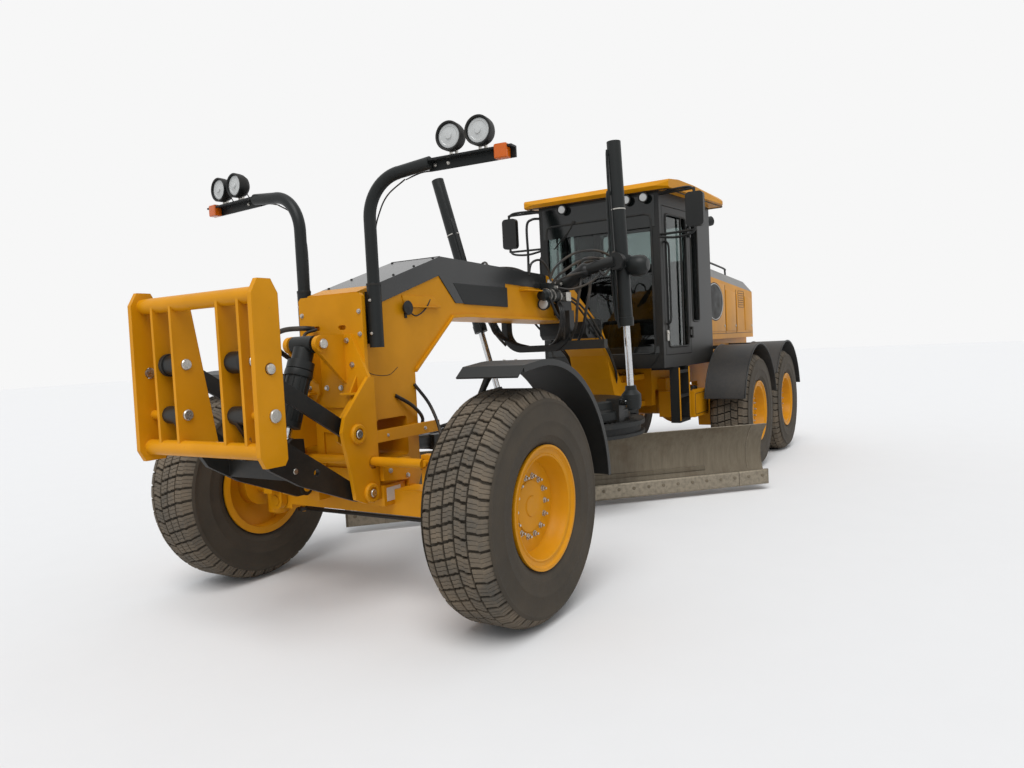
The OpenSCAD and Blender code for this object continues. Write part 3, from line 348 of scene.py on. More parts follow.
def make_finishes():
    """Every finish of the machine, by its plain name."""
    finish = bpy.context.scene.grader_finish
    yellow, black, grey = tuple(finish.yellow), tuple(finish.black), tuple(finish.grey)
    FINISHES.update(
        yellow=painted_steel("machine_yellow", yellow, dust=0.07, shine=0.14),
        chipped=painted_steel("chipped_yellow", yellow, dust=0.08, chips=0.50, shine=0.14),
        black=painted_steel("black_steel", black, rough=0.42, dust=0.07, shine=0.35),
        fender=painted_steel("fender_black", black, rough=0.46, dust=0.03, shine=0.35),
        grey=painted_steel("dark_grey_steel", grey, rough=0.40, dust=0.03, shine=0.22),
        hood=painted_steel("hood_grey", (0.15, 0.15, 0.145), rough=0.5, dust=0.3),
        rear_fender=painted_steel(
            "rear_fender_grey", (0.012, 0.012, 0.012), rough=0.5, dust=0.10, shine=0.4),
        iron=painted_steel(
            "cast_iron", (0.014, 0.015, 0.015), rough=0.6, dust=0.12, chips=0.3, shine=0.3),
        blade=worn_steel("blade_steel"),
        edge=bright_metal("edge_steel", (0.30, 0.26, 0.20), 0.42, 30),
        tread=tyre_rubber("tread_rubber", (0.060, 0.058, 0.052), 0.42),
        sidewall=tyre_rubber("sidewall_rubber", (0.024, 0.023, 0.020), 0.14),
        cover=painted_steel("cover_grey", (0.020, 0.021, 0.021), rough=0.22, dust=0.05),
        tinted=painted_steel("tinted_glass", (0.004, 0.006, 0.006), rough=0.05, dust=0.05),
        label=painted_steel("blank_label", (0.62, 0.60, 0.56), rough=0.5, dust=0.25),
        chrome=bright_metal("rod_chrome", (0.62, 0.63, 0.64), 0.12),
        zinc=bright_metal("zinc_plate", (0.52, 0.50, 0.46), 0.30, 140),
        plastic=moulded_black("black_plastic"),
        hose=moulded_black("hose_rubber", (0.010, 0.010, 0.010), 0.45, 0.2),
        seat=moulded_black("seat_cloth", (0.025, 0.026, 0.028), 0.85, 0.1),
        glass=clear_glass("cab_glass", (0.36, 0.42, 0.41)),
        amber=lamp_lens("amber_lens", (0.62, 0.115, 0.002), 60),
        clear=lamp_lens("clear_lens", (0.55, 0.56, 0.55), 45),
        mirror=bright_metal("mirror_glass", (0.75, 0.78, 0.80), 0.03, 6),
    )


# Which nodes of the part wear each finish
NODE_FINISH = {
    "yellow": ["rear_chassis", "cab_roof", "engine_hood", "rear_axle", "front_frame", "lift_bracket",
               "front_axle", "lean_bracket_left", "lean_bracket_right", "knuckle_left", "knuckle_right",
               "lean_bar", "rim_front_left", "rim_front_right", "rim_left_fore", "rim_left_aft",
               "rim_right_fore", "rim_right_aft"],
    "chipped": ["carrier"],
    "black": ["cab_frame", "door_left", "door_right", "saddle", "drawbar", "blade_arms", "lower_arm",
              "upper_links", "tie_rod", "tie_yoke", "exhaust_stack"],
    "fender": ["fender_left", "fender_right", "cab_steps"],
    "plastic": ["cab_interior", "rear_grille"],
    "cover": ["frame_cover"],
    "grey": ["light_masts", "lift_barrel_left", "lift_barrel_right", "front_cylinder"],
    "hood": ["hood_top"],
    "rear_fender": ["rear_fenders"],
    "iron": ["circle_gear", "engine_block"],
    "blade": ["moldboard"],
    "sidewall": [wheel[0] for wheel in WHEELS],
    "chrome": ["lift_rod_left", "lift_rod_right", "front_rod"],
    "glass": ["cab_glass", "door_left_glass", "door_right_glass"],
}


# Mesh helpers


def piece(name, mesh, finish, body, smooth=True):
    """An object of the finished mesh, riding on a body."""
    obj = bpy.data.objects.new(name, mesh)
    bpy.context.collection.objects.link(obj)
    if not mesh.materials:
        mesh.materials.append(FINISHES[finish])
    if smooth:
        mesh.polygons.foreach_set("use_smooth", [True] * len(mesh.polygons))
        mesh.set_sharp_from_angle(angle=math.radians(32))
    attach(obj, body)
    return obj


def finish_mesh(name, shape):
    """A mesh from a bmesh, with its faces outwards."""
    bmesh.ops.remove_doubles(shape, verts=shape.verts, dist=1e-6)
    bmesh.ops.recalc_face_normals(shape, faces=shape.faces)
    mesh = bpy.data.meshes.new(name)
    shape.to_mesh(mesh)
    shape.free()
    return mesh


def make(name, finish, body, draw, matrix=None):
    """A piece drawn in machine coordinates, or in a local frame that the matrix places there."""
    shape = bmesh.new()
    draw(shape)
    shape.transform(Matrix.Translation(PLACE) @ (matrix or Matrix()))
    return piece(name, finish_mesh(name, shape), finish, body)


def turns(count):
    """Equal steps of one full turn."""
    return [math.tau * i / count for i in range(count)]


def add_ring(shape, points):
    """A closed ring of vertices."""
    return [shape.verts.new(point) for point in points]


def add_circle(shape, centre, side, across, radius, count):
    """A ring of vertices on a circle."""
    return add_ring(shape, [centre + (side * math.cos(turn) + across * math.sin(turn)) * radius
                            for turn in turns(count)])


def bridge(shape, rings, closed=False):
    """Skins rings of the same count, and shuts the ends; closed joins the last ring to the first."""
    pairs = list(zip(rings, rings[1:])) + ([(rings[-1], rings[0])] if closed else [])
    for a, b in pairs:
        count = len(a)
        for i in range(count):
            shape.faces.new((a[i], a[(i + 1) % count], b[(i + 1) % count], b[i]))
    if not closed:
        shape.faces.new(list(reversed(rings[0])))
        shape.faces.new(rings[-1])


def lathe(shape, profile, centre, axis, steps=48, closed=False):
    """Turns a profile of (along, radius) pairs round an axis through the centre."""
    axis = Vector(axis).normalized()
    side = axis.orthogonal().normalized()
    across = axis.cross(side)
    rings = []
    for along, radius in profile:
        middle_point = Vector(centre) + axis * along
        rings.append(add_circle(shape, middle_point, side, across, max(radius, POLE), steps))
    bridge(shape, rings, closed)


def smooth_path(points, parts=6):
    """A smooth path through the points, by Catmull-Rom segments."""
    points = [Vector(p) for p in points]
    ends = [points[0] * 2 - points[1]] + points + [points[-1] * 2 - points[-2]]
    path = []
    for a, b, c, d in zip(ends, ends[1:], ends[2:], ends[3:]):
        for i in range(parts):
            t = i / parts
            path.append(0.5 * (2 * b + (c - a) * t + (2 * a - 5 * b + 4 * c - d) * t * t
                               + (3 * b - a - 3 * c + d) * t ** 3))
    return path + [points[-1]]


def tube(shape, path, radius, sides=12):
    """A round tube along a path."""
    path = [Vector(p) for p in path]
    normal = None
    rings = []
    for i, point in enumerate(path):
        ahead = (path[min(i + 1, len(path) - 1)] - path[max(i - 1, 0)]).normalized()
        normal = ahead.orthogonal() if normal is None else normal - ahead * normal.dot(ahead)
        normal.normalize()
        rings.append(add_circle(shape, point, normal, ahead.cross(normal), radius, sides))
    bridge(shape, rings)


def hose(shape, points, radius, sides, side=1):
    """A tube along a smooth path through the points, mirrored on the right."""
    tube(shape, smooth_path([(x, side * y, z) for x, y, z in points]), radius, sides)


def spread(side, near, far):
    """Two distances out to one side as Y values, the lower first."""
    return sorted((side * near, side * far))


def box(shape, low, high, bevel=0.0, segments=2):
    """A box with rounded edges."""
    low, high = Vector(low), Vector(high)
    place = Matrix.LocRotScale((low + high) / 2, None, high - low)
    made = bmesh.ops.create_cube(shape, size=1.0, matrix=place)
    if bevel:
        edges = list(dict.fromkeys(e for v in made["verts"] for e in v.link_edges))
        bmesh.ops.bevel(shape, geom=edges, offset=bevel, segments=segments, profile=0.7,
                        affect="EDGES", clamp_overlap=True)


def side_box(shape, side, x, y, z, bevel=0.0, segments=2):
    """A box on one side, from its spans along X, out from the middle and up."""
    low, high = spread(side, *y)
    box(shape, (x[0], low, z[0]), (x[1], high, z[1]), bevel, segments)


def plate(shape, outline, low, high, bevel=0.0, plane="XZ"):
    """A plate cut to an outline in the XZ or YZ plane, between two depths along the third axis."""
    rings = [add_ring(shape, [(u, depth, v) if plane == "XZ" else (depth, u, v) for u, v in outline])
             for depth in (low, high)]
    edges_before = set(shape.edges)
    bridge(shape, rings)
    if bevel:
        edges = [e for e in shape.edges if e not in edges_before]
        bmesh.ops.bevel(shape, geom=edges, offset=bevel, segments=2, profile=0.7,
                        affect="EDGES", clamp_overlap=True)


def side_plate(shape, side, outline, near, far, bevel=0.0):
    """An upright plate on one side, between two distances from the middle."""
    plate(shape, outline, *spread(side, near, far), bevel)


def bolt_shape(shape, spot, axis, size):
    """A hexagon head on a washer."""
    washer = [(0, size * 1.25), (size * 0.18, size * 1.25), (size * 0.2, size * 1.1)]
    lathe(shape, washer, spot, axis, 20)
    head = size * 0.85
    lathe(shape, [(size * 0.15, size), (head, size), (head + size * 0.12, size * 0.82)], spot, axis, 6)


def bolts(shape, axis, size, spots, side=1):
    """Hexagon heads of one size that face one way, mirrored on the right."""
    for x, y, z in spots:
        bolt_shape(shape, (x, side * y, z), (axis[0], side * axis[1], axis[2]), size)


def band(shape, spot, axis, inner, outer, width, steps):
    """A clamp band round a tube."""
    section = [(0, inner), (0, outer), (width, outer), (width, inner)]
    lathe(shape, section, spot, axis, steps, closed=True)


def disc(shape, spot, axis, radius, height, steps=32):
    """A low round head with a rounded rim."""
    profile = [(-0.002, radius), (height * 0.6, radius), (height, radius * 0.86), (height, 0)]
    lathe(shape, profile, spot, axis, steps)


def frame_tube(shape, corners, radius, round_off):
    """A closed tube through four or more corners, each rounded."""
    corners = [Vector(corner) for corner in corners]
    path = []
    for i, here in enumerate(corners):
        before, after = corners[i - 1], corners[(i + 1) % len(corners)]
        a = here + (before - here).normalized() * round_off
        b = here + (after - here).normalized() * round_off
        path += [a, a.lerp(here, 0.6).lerp(here.lerp(b, 0.4), 0.5), b]
    closed_tube(shape, path, radius)


def rectangle(low, high):
    """Corners of a rectangle, in order round it, as pairs."""
    return [low, (high[0], low[1]), high, (low[0], high[1])]


def closed_tube(shape, path, radius, sides=8):
    """A tube along a closed path that lies nearly flat."""
    middle_point = sum(path, Vector()) / len(path)
    arms = [point - middle_point for point in path]
    normal = sum((arms[i - 1].cross(arm) for i, arm in enumerate(arms)), Vector()).normalized()
    rings = []
    for i, point in enumerate(path):
        ahead = (path[(i + 1) % len(path)] - path[i - 1]).normalized()
        across = ahead.cross(normal).normalized()
        rings.append(add_circle(shape, point, normal, across, radius, sides))
    bridge(shape, rings, closed=True)


# Geometry Nodes helpers


def tree_input(tree, name, kind, default):
    """A named input of a geometry tree."""
    socket = tree.interface.new_socket(name, in_out="INPUT", socket_type=kind)
    if default is not None:
        socket.default_value = default
    return socket


def ring_tree(name):
    """Puts copies of one object on a circle about Y, each turned outwards, and gives them one finish."""
    tree = bpy.data.node_groups.new(name, "GeometryNodeTree")
    tree_input(tree, "Geometry", "NodeSocketGeometry", None)
    sockets = {
        "Copy": tree_input(tree, "Copy", "NodeSocketObject", None),
        "Count": tree_input(tree, "Count", "NodeSocketInt", 12),
        "Radius": tree_input(tree, "Radius", "NodeSocketFloat", 0.1),
        "Finish": tree_input(tree, "Finish", "NodeSocketMaterial", None),
    }
    tree.interface.new_socket("Geometry", in_out="OUTPUT", socket_type="NodeSocketGeometry")
    add, join = tree.nodes.new, tree.links.new
    source, out = add("NodeGroupInput"), add("NodeGroupOutput")
    circle = add("GeometryNodeMeshCircle")
    join(source.outputs["Count"], circle.inputs["Vertices"])
    join(source.outputs["Radius"], circle.inputs["Radius"])
    upright = add("GeometryNodeTransform")
    upright.inputs["Rotation"].default_value = (math.radians(90), 0, 0)
    join(circle.outputs["Mesh"], upright.inputs["Geometry"])
    spot = add("GeometryNodeInputPosition")
    align = add("FunctionNodeAlignRotationToVector")
    align.axis = "Z"
    align.pivot_axis = "Y"
    join(spot.outputs["Position"], align.inputs["Vector"])
    copy = add("GeometryNodeObjectInfo")
    join(source.outputs["Copy"], copy.inputs["Object"])
    place = add("GeometryNodeInstanceOnPoints")
    join(upright.outputs["Geometry"], place.inputs["Points"])
    join(copy.outputs["Geometry"], place.inputs["Instance"])
    join(align.outputs["Rotation"], place.inputs["Rotation"])
    solid = add("GeometryNodeRealizeInstances")
    join(place.outputs["Instances"], solid.inputs["Geometry"])
    paint = add("GeometryNodeSetMaterial")
    join(solid.outputs["Geometry"], paint.inputs["Geometry"])
    join(source.outputs["Finish"], paint.inputs["Material"])
    join(paint.outputs["Geometry"], out.inputs["Geometry"])
    return tree, {key: socket.identifier for key, socket in sockets.items()}


def ring_of(name, mesh, count, radius, finish):
    """The mesh of count copies on a circle about Y, made by the ring tree."""
    seed = bpy.data.objects.new(name + "_one", mesh)
    holder = bpy.data.objects.new(name + "_ring", bpy.data.meshes.new(name + "_base"))
    for obj in (seed, holder):
        bpy.context.collection.objects.link(obj)
    tree, keys = ring_tree(name + "_tree")
    modifier = holder.modifiers.new("Ring", "NODES")
    modifier.node_group = tree
    modifier[keys["Copy"]] = seed
    modifier[keys["Count"]] = count
    modifier[keys["Radius"]] = radius
    modifier[keys["Finish"]] = FINISHES[finish]
    graph = bpy.context.evaluated_depsgraph_get()
    made = bpy.data.meshes.new_from_object(holder.evaluated_get(graph))
    holder.modifiers.remove(modifier)
    for obj in (seed, holder):
        bpy.data.objects.remove(obj)
    return made


# Pieces


class GRADER_OT_finishes(bpy.types.Operator):
    """Makes the finishes and gives every node of the part its own"""
    bl_idname = "grader.finishes"
    bl_label = "Finishes"

    def execute(self, context):
        make_finishes()
        for finish, nodes in NODE_FINISH.items():
            for node in nodes:
                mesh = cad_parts[node].data
                mesh.materials.clear()
                mesh.materials.append(FINISHES[finish])
        return {"FINISHED"}


# Half the width of the tread's blocks, and how far in the second row's shoulders stop
TREAD_HALF = 0.213
SHORTER = 0.007
# The columns of blocks across the tread as (near edge, far edge, row shift)
TREAD_COLUMNS = [(-TREAD_HALF, -0.118, 0.5), (-0.107, -0.040, 0.25), (-0.029, 0.029, 0.0),
                 (0.040, 0.107, 0.75), (0.118, TREAD_HALF, 0.5)]


def block_outline(near, far, low, high):
    """Plan outline of a tread block, or of a slab of one, with stepped leading and trailing edges."""
    mid = (near + far) / 2
    step = 0.007 if near >= 0 else -0.007
    return [(near, low - step), (mid, low), (mid + 0.006, low + step), (far, low + step),
            (far, high + step), (mid + 0.006, high + step), (mid, high), (near, high - step)]


def crown(across):
    """Outer radius of the tread at a place across it: flat in the middle, falling at the shoulders."""
    drop = max(0.0, abs(across) - 0.12)
    return TYRE_R - 0.0015 - 0.9 * drop * drop / 0.1


def wrap_block(shape, outline, steps):
    """A block whose outline lies on the crown, skinned through (sink, shrink) steps."""
    mid_y = sum(p[0] for p in outline) / len(outline)
    mid_x = sum(p[1] for p in outline) / len(outline)
    rings = []
    for sink, shrink in steps:
        ring = []
        for across, along in outline:
            y = across - math.copysign(shrink, across - mid_y)
            x = along - math.copysign(shrink, along - mid_x)
            radius, turn = crown(y) - sink, x / TYRE_R
            ring.append(Vector((radius * math.sin(turn), y, radius * math.cos(turn))))
        rings.append(add_ring(shape, ring))
    bridge(shape, rings)


def tread_pitch(settings):
    """Two rows of siped blocks, the second with shorter shoulders, with the ring radius taken off."""
    pitch = math.tau * TYRE_R / settings.rows
    half = (pitch - settings.gap) / 2
    slab, sipe = 2 * half / 3, 0.0012
    body_steps = [(settings.depth + 0.004, -0.002), (0.008, 0.0), (0.0055, 0.001)]
    slab_steps = [(0.0065, 0.0), (0.0025, 0.0), (0.0, 0.0025)]
    shape = bmesh.new()
    for row in (0, 1):
        for near, far, shift in TREAD_COLUMNS:
            limit = TREAD_HALF - SHORTER * row
            near, far = max(near, -limit), min(far, limit)
            start = (shift + row) * pitch - half
            outline = block_outline(near, far, start, (shift + row) * pitch + half)
            wrap_block(shape, outline, body_steps)
            for k in range(3):
                low = start + k * slab + sipe
                wrap_block(shape, block_outline(near, far, low, low + slab - 2 * sipe), slab_steps)
    for vert in shape.verts:
        vert.co.z -= TYRE_R
    return finish_mesh("tread_blocks", shape)


def tyre_profile(depth):
    """Section of the casing as (across, radius), from the inner bead round the tread to the outer bead."""
    width = TYRE_W / 2 - 0.001
    half = [(0.150, 0.318), (0.166, 0.338), (0.178, 0.352), (0.196, 0.372), (0.207, 0.398),
            (0.213, 0.404), (0.2145, 0.412), (width - 0.006, 0.440), (width - 0.003, 0.474),
            (width, 0.482), (width, 0.488), (width - 0.004, 0.496), (width - 0.003, 0.560),
            (width - 0.006, 0.585), (width - 0.003, 0.592), (width - 0.005, 0.602), (0.211, 0.612)]
    half += [(across, crown(across) - depth)
             for across in (0.205, 0.190, 0.170, 0.150, 0.120, 0.060, 0.0)]
    return half + [(-across, radius) for across, radius in reversed(half[:-1])]


def wheel_frame(node, side):
    """Local frame of a wheel, with +Y out of its dish."""
    place = Matrix.Translation(middle(node))
    return place if side > 0 else place @ Matrix.Rotation(math.pi, 4, "Z")


def copy_piece(name, source, finish, body, place, smooth=True):
    """A piece that is a placed copy of a mesh."""
    mesh = source.copy()
    mesh.transform(place)
    return piece(name, mesh, finish, body, smooth)


class GRADER_OT_tyres(bpy.types.Operator):
    """Casings with moulded sidewalls, and treads of stepped blocks"""
    bl_idname = "grader.tyres"
    bl_label = "Tyres"

    def execute(self, context):
        settings = context.scene.grader_tread
        tread = ring_of("tread", tread_pitch(settings), settings.rows // 2, TYRE_R, "tread")
        shape = bmesh.new()
        lathe(shape, tyre_profile(settings.depth), ORIGIN, LEFT, 120, closed=True)
        casing = finish_mesh("casing", shape)
        for node, body, side in WHEELS:
            place = wheel_frame(node, side)
            obj = copy_piece(f"{node}_casing", casing, "sidewall", body, place)
            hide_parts(node)
            copy_piece(f"{node}_tread", tread, "tread", body, place, smooth=False)
        return {"FINISHED"}


class GRADER_OT_wheels(bpy.types.Operator):
    """Wheel faces with their nuts, plugs and valve stems"""
    bl_idname = "grader.wheels"
    bl_label = "Wheels"
    # Section of the face as (along the axle, radius), from the rim's lip to the middle and back behind
    FACE = [(0.200, 0.351), (0.199, 0.338), (0.186, 0.326), (0.184, 0.305), (0.190, 0.297),
            (0.186, 0.289), (0.172, 0.286), (0.150, 0.276), (0.128, 0.274), (0.110, 0.262),
            (0.088, 0.256), (0.088, 0.235), (0.089, 0.150), (0.096, 0.146), (0.098, 0.138),
            (0.098, 0.060), (0.104, 0.056), (0.104, 0), (0.060, 0), (0.060, 0.252),
            (0.100, 0.284), (0.180, 0.296), (0.180, 0.350)]

    def execute(self, context):
        shape = bmesh.new()
        bolt_shape(shape, (0, 0.089, 0), LEFT, 0.0145)
        lathe(shape, [(0.10, 0.008), (0.116, 0.008), (0.118, 0.005)], ORIGIN, LEFT, 12)
        nuts = ring_of("nuts", finish_mesh("nut", shape), 14, 0.171, "zinc")
        shape = bmesh.new()
        lathe(shape, self.FACE, ORIGIN, LEFT, 96, closed=True)
        face = finish_mesh("wheel_face", shape)
        shape = bmesh.new()
        tube(shape, [(0.266, 0.095, 0.03), (0.272, 0.140, 0.03), (0.266, 0.165, 0.03)], 0.006)
        stem = finish_mesh("valve_stem", shape)
        for node, body, side in WHEELS:
            place = wheel_frame(node, side)
            copy_piece(f"{body}_nuts", nuts, "zinc", body, place)
            copy_piece(f"{body}_face", face, "yellow", body, place)
            copy_piece(f"{body}_valve", stem, "zinc", body, place)
        return {"FINISHED"}


# Bodies that carry most of the pieces
FRONT, REAR, DRAWBAR, CARRIER = "front_frame_body", "rear_frame", "drawbar_body", "lift_carrier"
# Half the width of the neck
NECK_Y = 0.214
# Pins of the front lift group, as X and Z
ARM_PIN, LINK_PIN, TOP_PIN = (0.283, 0.744), (0.370, 1.110), (0.440, 1.650)
CARRIER_LOW, CARRIER_HIGH = (1.130, 1.300), (1.120, 1.570)


def mast_frame(side):
    """Local frame of a light mast's arm, mirrored on the right."""
    return (Matrix.Translation((0.140, side * 0.300, 0)) @ Matrix.Diagonal((1, side, 1, 1))
            @ Matrix.Rotation(math.radians(5), 4, "Z"))


class GRADER_OT_lights(bpy.types.Operator):
    """Lamps, amber markers, bolts and leads of the two light masts"""
    bl_idname = "grader.lights"
    bl_label = "Lights"
    # Places of the lamps along the mast's bar, and their height
    LAMPS = (0.612, 0.800)
    LAMP_Z = 2.778

    def execute(self, context):
        for label, side in SIDES:
            place = mast_frame(side)
            for name, finish, draw in (
                    ("lamp_cases", "plastic", self.cases), ("lamp_lenses", "clear", self.lenses),
                    ("lamp_feet", "zinc", self.feet), ("amber", "amber", self.amber),
                    ("lamp_leads", "hose", self.leads)):
                make(f"mast_{label}_{name}", finish, FRONT, draw, place)
        return {"FINISHED"}

    def cases(self, shape):
        """Black shells round the lamp bodies, with a rim, and the mast's end caps."""
        for y in self.LAMPS:
            lathe(shape, [(-0.0415, 0), (-0.0415, 0.047), (-0.026, 0.067), (-0.002, 0.0785),
                          (0.017, 0.0815), (0.050, 0.0825), (0.058, 0.0825), (0.060, 0.080),
                          (0.058, 0.0725), (0.043, 0.0705), (0.0405, 0)], (0, y, self.LAMP_Z), AHEAD)
        lathe(shape, [(0, 0.0455), (0.012, 0.0455), (0.012, 0.040)], (0, 0, 1.99), UP, 32)

    def lenses(self, shape):
        """Domed lenses."""
        for y in self.LAMPS:
            lathe(shape, [(0.0395, 0.0700), (0.047, 0.066), (0.049, 0.054), (0.046, 0.050),
                          (0.0475, 0.034), (0.050, 0.020), (0.056, 0.017), (0.057, 0)],
                  (0, y, self.LAMP_Z), AHEAD)

    def feet(self, shape):
        """Silver lugs under each lamp, and the bolts through the lamp bar."""
        for y in self.LAMPS:
            for near in (-0.024, 0.012):
                box(shape, (-0.010, y + near, 2.683), (0.010, y + near + 0.012, 2.722), 0.002)
            bolt_shape(shape, (0, y, 2.681), UP, 0.008)
        bolts(shape, AHEAD, 0.009, [(-0.021, 0.47, 2.65), (-0.021, 0.56, 2.65)])
        bolts(shape, AHEAD, 0.008, [(0.046, 0.0, 1.70), (0.046, 0.0, 1.90)])

    def amber(self, shape):
        """Amber marker near the bar's end."""
        box(shape, (-0.020, 0.882, 2.612), (0.038, 0.962, 2.692), 0.014, 3)

    def leads(self, shape):
        """Leads from the lamps down along the tube."""
        for y, low in zip(self.LAMPS, (2.63, 2.64)):
            hose(shape, [(-0.036, y, 2.75), (-0.055, y - 0.03, 2.69), (-0.045, y - 0.14, low),
                         (-0.042, 0.36, 2.625), (-0.040, 0.25, 2.60)], 0.0035, 8)
        hose(shape, [(-0.030, 0.25, 2.60), (-0.036, 0.12, 2.53), (-0.046, 0.045, 2.44),
                     (-0.046, 0.0, 2.30), (-0.046, 0.0, 2.02), (-0.050, 0.0, 1.96)], 0.0045, 8)


class GRADER_OT_front(bpy.types.Operator):
    """Bolts, pins, horn, seams, bare panels and hoses on the front frame and its bracket"""
    bl_idname = "grader.front"
    bl_label = "Front frame"

    def execute(self, context):
        make("bracket_bolts", "zinc", FRONT, self.bracket_bolts)
        make("bracket_pins", "zinc", FRONT, self.pins)
        make("bracket_bosses", "yellow", FRONT, self.bosses)
        make("cover_bolts", "plastic", FRONT, self.cover_bolts)
        make("frame_seams", "plastic", FRONT, self.seams)
        make("horn", "plastic", FRONT, self.horn)
        make("name_panels", "fender", FRONT, self.name_panels)
        make("horn_plates", "yellow", FRONT, self.horn_plates)
        make("front_hoses", "hose", FRONT, self.hoses)
        make("blank_label", "label", FRONT, self.label)
        return {"FINISHED"}

    def bracket_bolts(self, shape):
        """Bolts of the box plate, the angle brackets and the side plates."""
        for flip in (1, -1):
            bolts(shape, AHEAD, 0.012, [(0.222, 0.243, 1.838), (0.222, 0.243, 1.70)], flip)
            bolts(shape, AHEAD, 0.014, [
                (0.246, 0.186, 1.517), (0.246, 0.188, 1.375), (0.246, 0.152, 1.665),
                (0.222, 0.060, 1.375), (0.222, 0.060, 1.56)], flip)
            bolts(shape, AHEAD, 0.013, [(0.209, 0.200, 0.79), (0.209, 0.200, 1.20)], flip)
            bolts(shape, LEFT, 0.013, [(0.140, 0.349, 0.856), (-0.021, 0.349, 0.801)], flip)
            bolts(shape, LEFT, 0.008, [(0.100, 0.312, 1.070)], flip)
            bolts(shape, LEFT, 0.010, [(-0.27, 0.312, 1.070)], flip)

    def pins(self, shape):
        """Heads of the lift group's pins on the bracket."""
        for side in (1, -1):
            for (x, z), y, radius in ((ARM_PIN, 0.330, 0.024), (LINK_PIN, 0.326, 0.026),
                                      (TOP_PIN, 0.152, 0.030)):
                disc(shape, (x, side * y, z), (0, side, 0), radius, 0.010)

    def bosses(self, shape):
        """Raised rings round the pins, the axle plate with its box, and the angle brackets' gussets."""
        for side in (1, -1):
            for x, z in (ARM_PIN, LINK_PIN):
                lathe(shape, [(0, 0.060), (0.012, 0.059), (0.020, 0.052), (0.020, 0.036),
                              (0.012, 0.033), (0, 0.033)],
                      (x, side * 0.313, z), (0, side, 0), 40, closed=True)
            side_plate(shape, side, [
                (0.200, 0.925), (-0.056, 0.913), (-0.170, 0.800), (-0.120, 0.700), (-0.03, 0.705),
                (-0.03, 0.775), (0.200, 0.80)], 0.316, 0.348, 0.004)
            side_box(shape, side, (-0.015, 0.190), (0.225, 0.332), (0.640, 0.770), 0.008)
            plate(shape, rectangle((side * 0.130, 1.335), (side * 0.285, 1.349)),
                  0.222, 0.31, 0.002, "YZ")
            side_plate(shape, side, [(0.246, 1.349), (0.31, 1.349), (0.246, 1.45)],
                       0.205, 0.217, 0.002)

    def cover_bolts(self, shape):
        """Small bolts along both edges of the cover's top."""
        for a, b, count in (((0.03, 2.012), (-0.62, 2.223), 4), ((-0.72, 2.233), (-2.15, 2.189), 7)):
            slope = Vector((b[0] - a[0], 0, b[1] - a[1]))
            up = Vector(LEFT).cross(slope).normalized()
            up *= 1 if up.z > 0 else -1
            for i in range(count):
                x, z = (a[k] + (b[k] - a[k]) * i / (count - 1) for k in (0, 1))
                bolts(shape, up, 0.008, [(x, -0.185, z), (x, 0.185, z)])

    def seams(self, shape):
        """Weld line on the leg, and the cover's seams."""
        for side in (1, -1):
            hose(shape, [(x, NECK_Y, z) for x, z in (
                (0.191, 1.514), (0.149, 1.472), (0.081, 1.444), (-0.051, 1.436), (-0.143, 1.481))],
                 0.0022, 6, side)
        for x, z, radius in ((-0.658, 2.2355, 0.0025), (-1.20, 2.2185, 0.0022), (-1.70, 2.203, 0.0022)):
            tube(shape, [(x, -0.219, z), (x, 0.219, z)], radius, 6)

    def horn(self, shape):
        """Horn with its bracket and lead."""
        lathe(shape, [(0, 0.012), (0.010, 0.030), (0.030, 0.046), (0.036, 0.048), (0.040, 0.044),
                      (0.038, 0.030), (0.044, 0.012), (0.044, 0)], (-0.242, NECK_Y, 1.866), LEFT, 36)
        box(shape, (-0.262, NECK_Y - 0.001, 1.80), (-0.238, NECK_Y + 0.006, 1.866), 0.002)
        hose(shape, [(x, NECK_Y + off, z) for x, off, z in (
            (-0.27, 0.02, 1.84), (-0.33, 0.022, 1.815), (-0.40, 0.018, 1.835), (-0.47, 0.010, 1.875),
            (-0.52, 0.004, 1.93))], 0.005, 8)

    def name_panels(self, shape):
        """Bare dark panels on the cover's sides."""
        for side in (1, -1):
            side_plate(shape, side, [(-0.80, 2.055), (-0.925, 1.905), (-1.535, 1.893), (-1.535, 2.050)],
                       0.2210, 0.2232, 0.0008)

    def horn_plates(self, shape):
        """Folded plates on the neck's sides."""
        for side in (1, -1):
            side_plate(shape, side, [(-0.219, 1.949), (-0.556, 1.95), (-0.64, 1.879), (-0.251, 1.864)],
                       0.2135, 0.221, 0.002)
            side_box(shape, side, (-0.60, -0.30), (0.2135, 0.236), (1.872, 1.880), 0.001)

    def hoses(self, shape):
        """Hoses at the bracket, and bundles from the neck to the axle."""
        hose(shape, [(0.24, -0.126, 1.75), (0.30, -0.16, 1.755), (0.335, -0.30, 1.75),
                     (0.32, -0.43, 1.70), (0.20, -0.46, 1.60), (0.06, -0.38, 1.50),
                     (-0.05, -0.225, 1.44)], 0.016, 12)
        hose(shape, [(0.24, -0.10, 1.745), (0.31, -0.13, 1.72), (0.36, -0.10, 1.66),
                     (0.40, -0.085, 1.60)], 0.010, 12)
        hose(shape, [(-0.10, 0.216, 1.30), (-0.22, 0.26, 1.22), (-0.34, 0.24, 1.12),
                     (-0.40, 0.14, 1.02)], 0.012, 12)
        for side in (1, -1):
            hose(shape, [(-0.30, 0.216, 1.36), (-0.36, 0.30, 1.20), (-0.30, 0.42, 1.00),
                         (-0.16, 0.50, 0.80), (-0.10, 0.56, 0.74)], 0.011, 12, side)

    def label(self, shape):
        """Bare labels on the axle box."""
        for side in (1, -1):
            side_box(shape, side, (0.035, 0.165), (0.3315, 0.3335), (0.668, 0.752), 0.0006, 1)


# Middle of the circle, between the drawbar and the blade
CIRCLE = Matrix.Translation((-2.690, 0.100, 0))
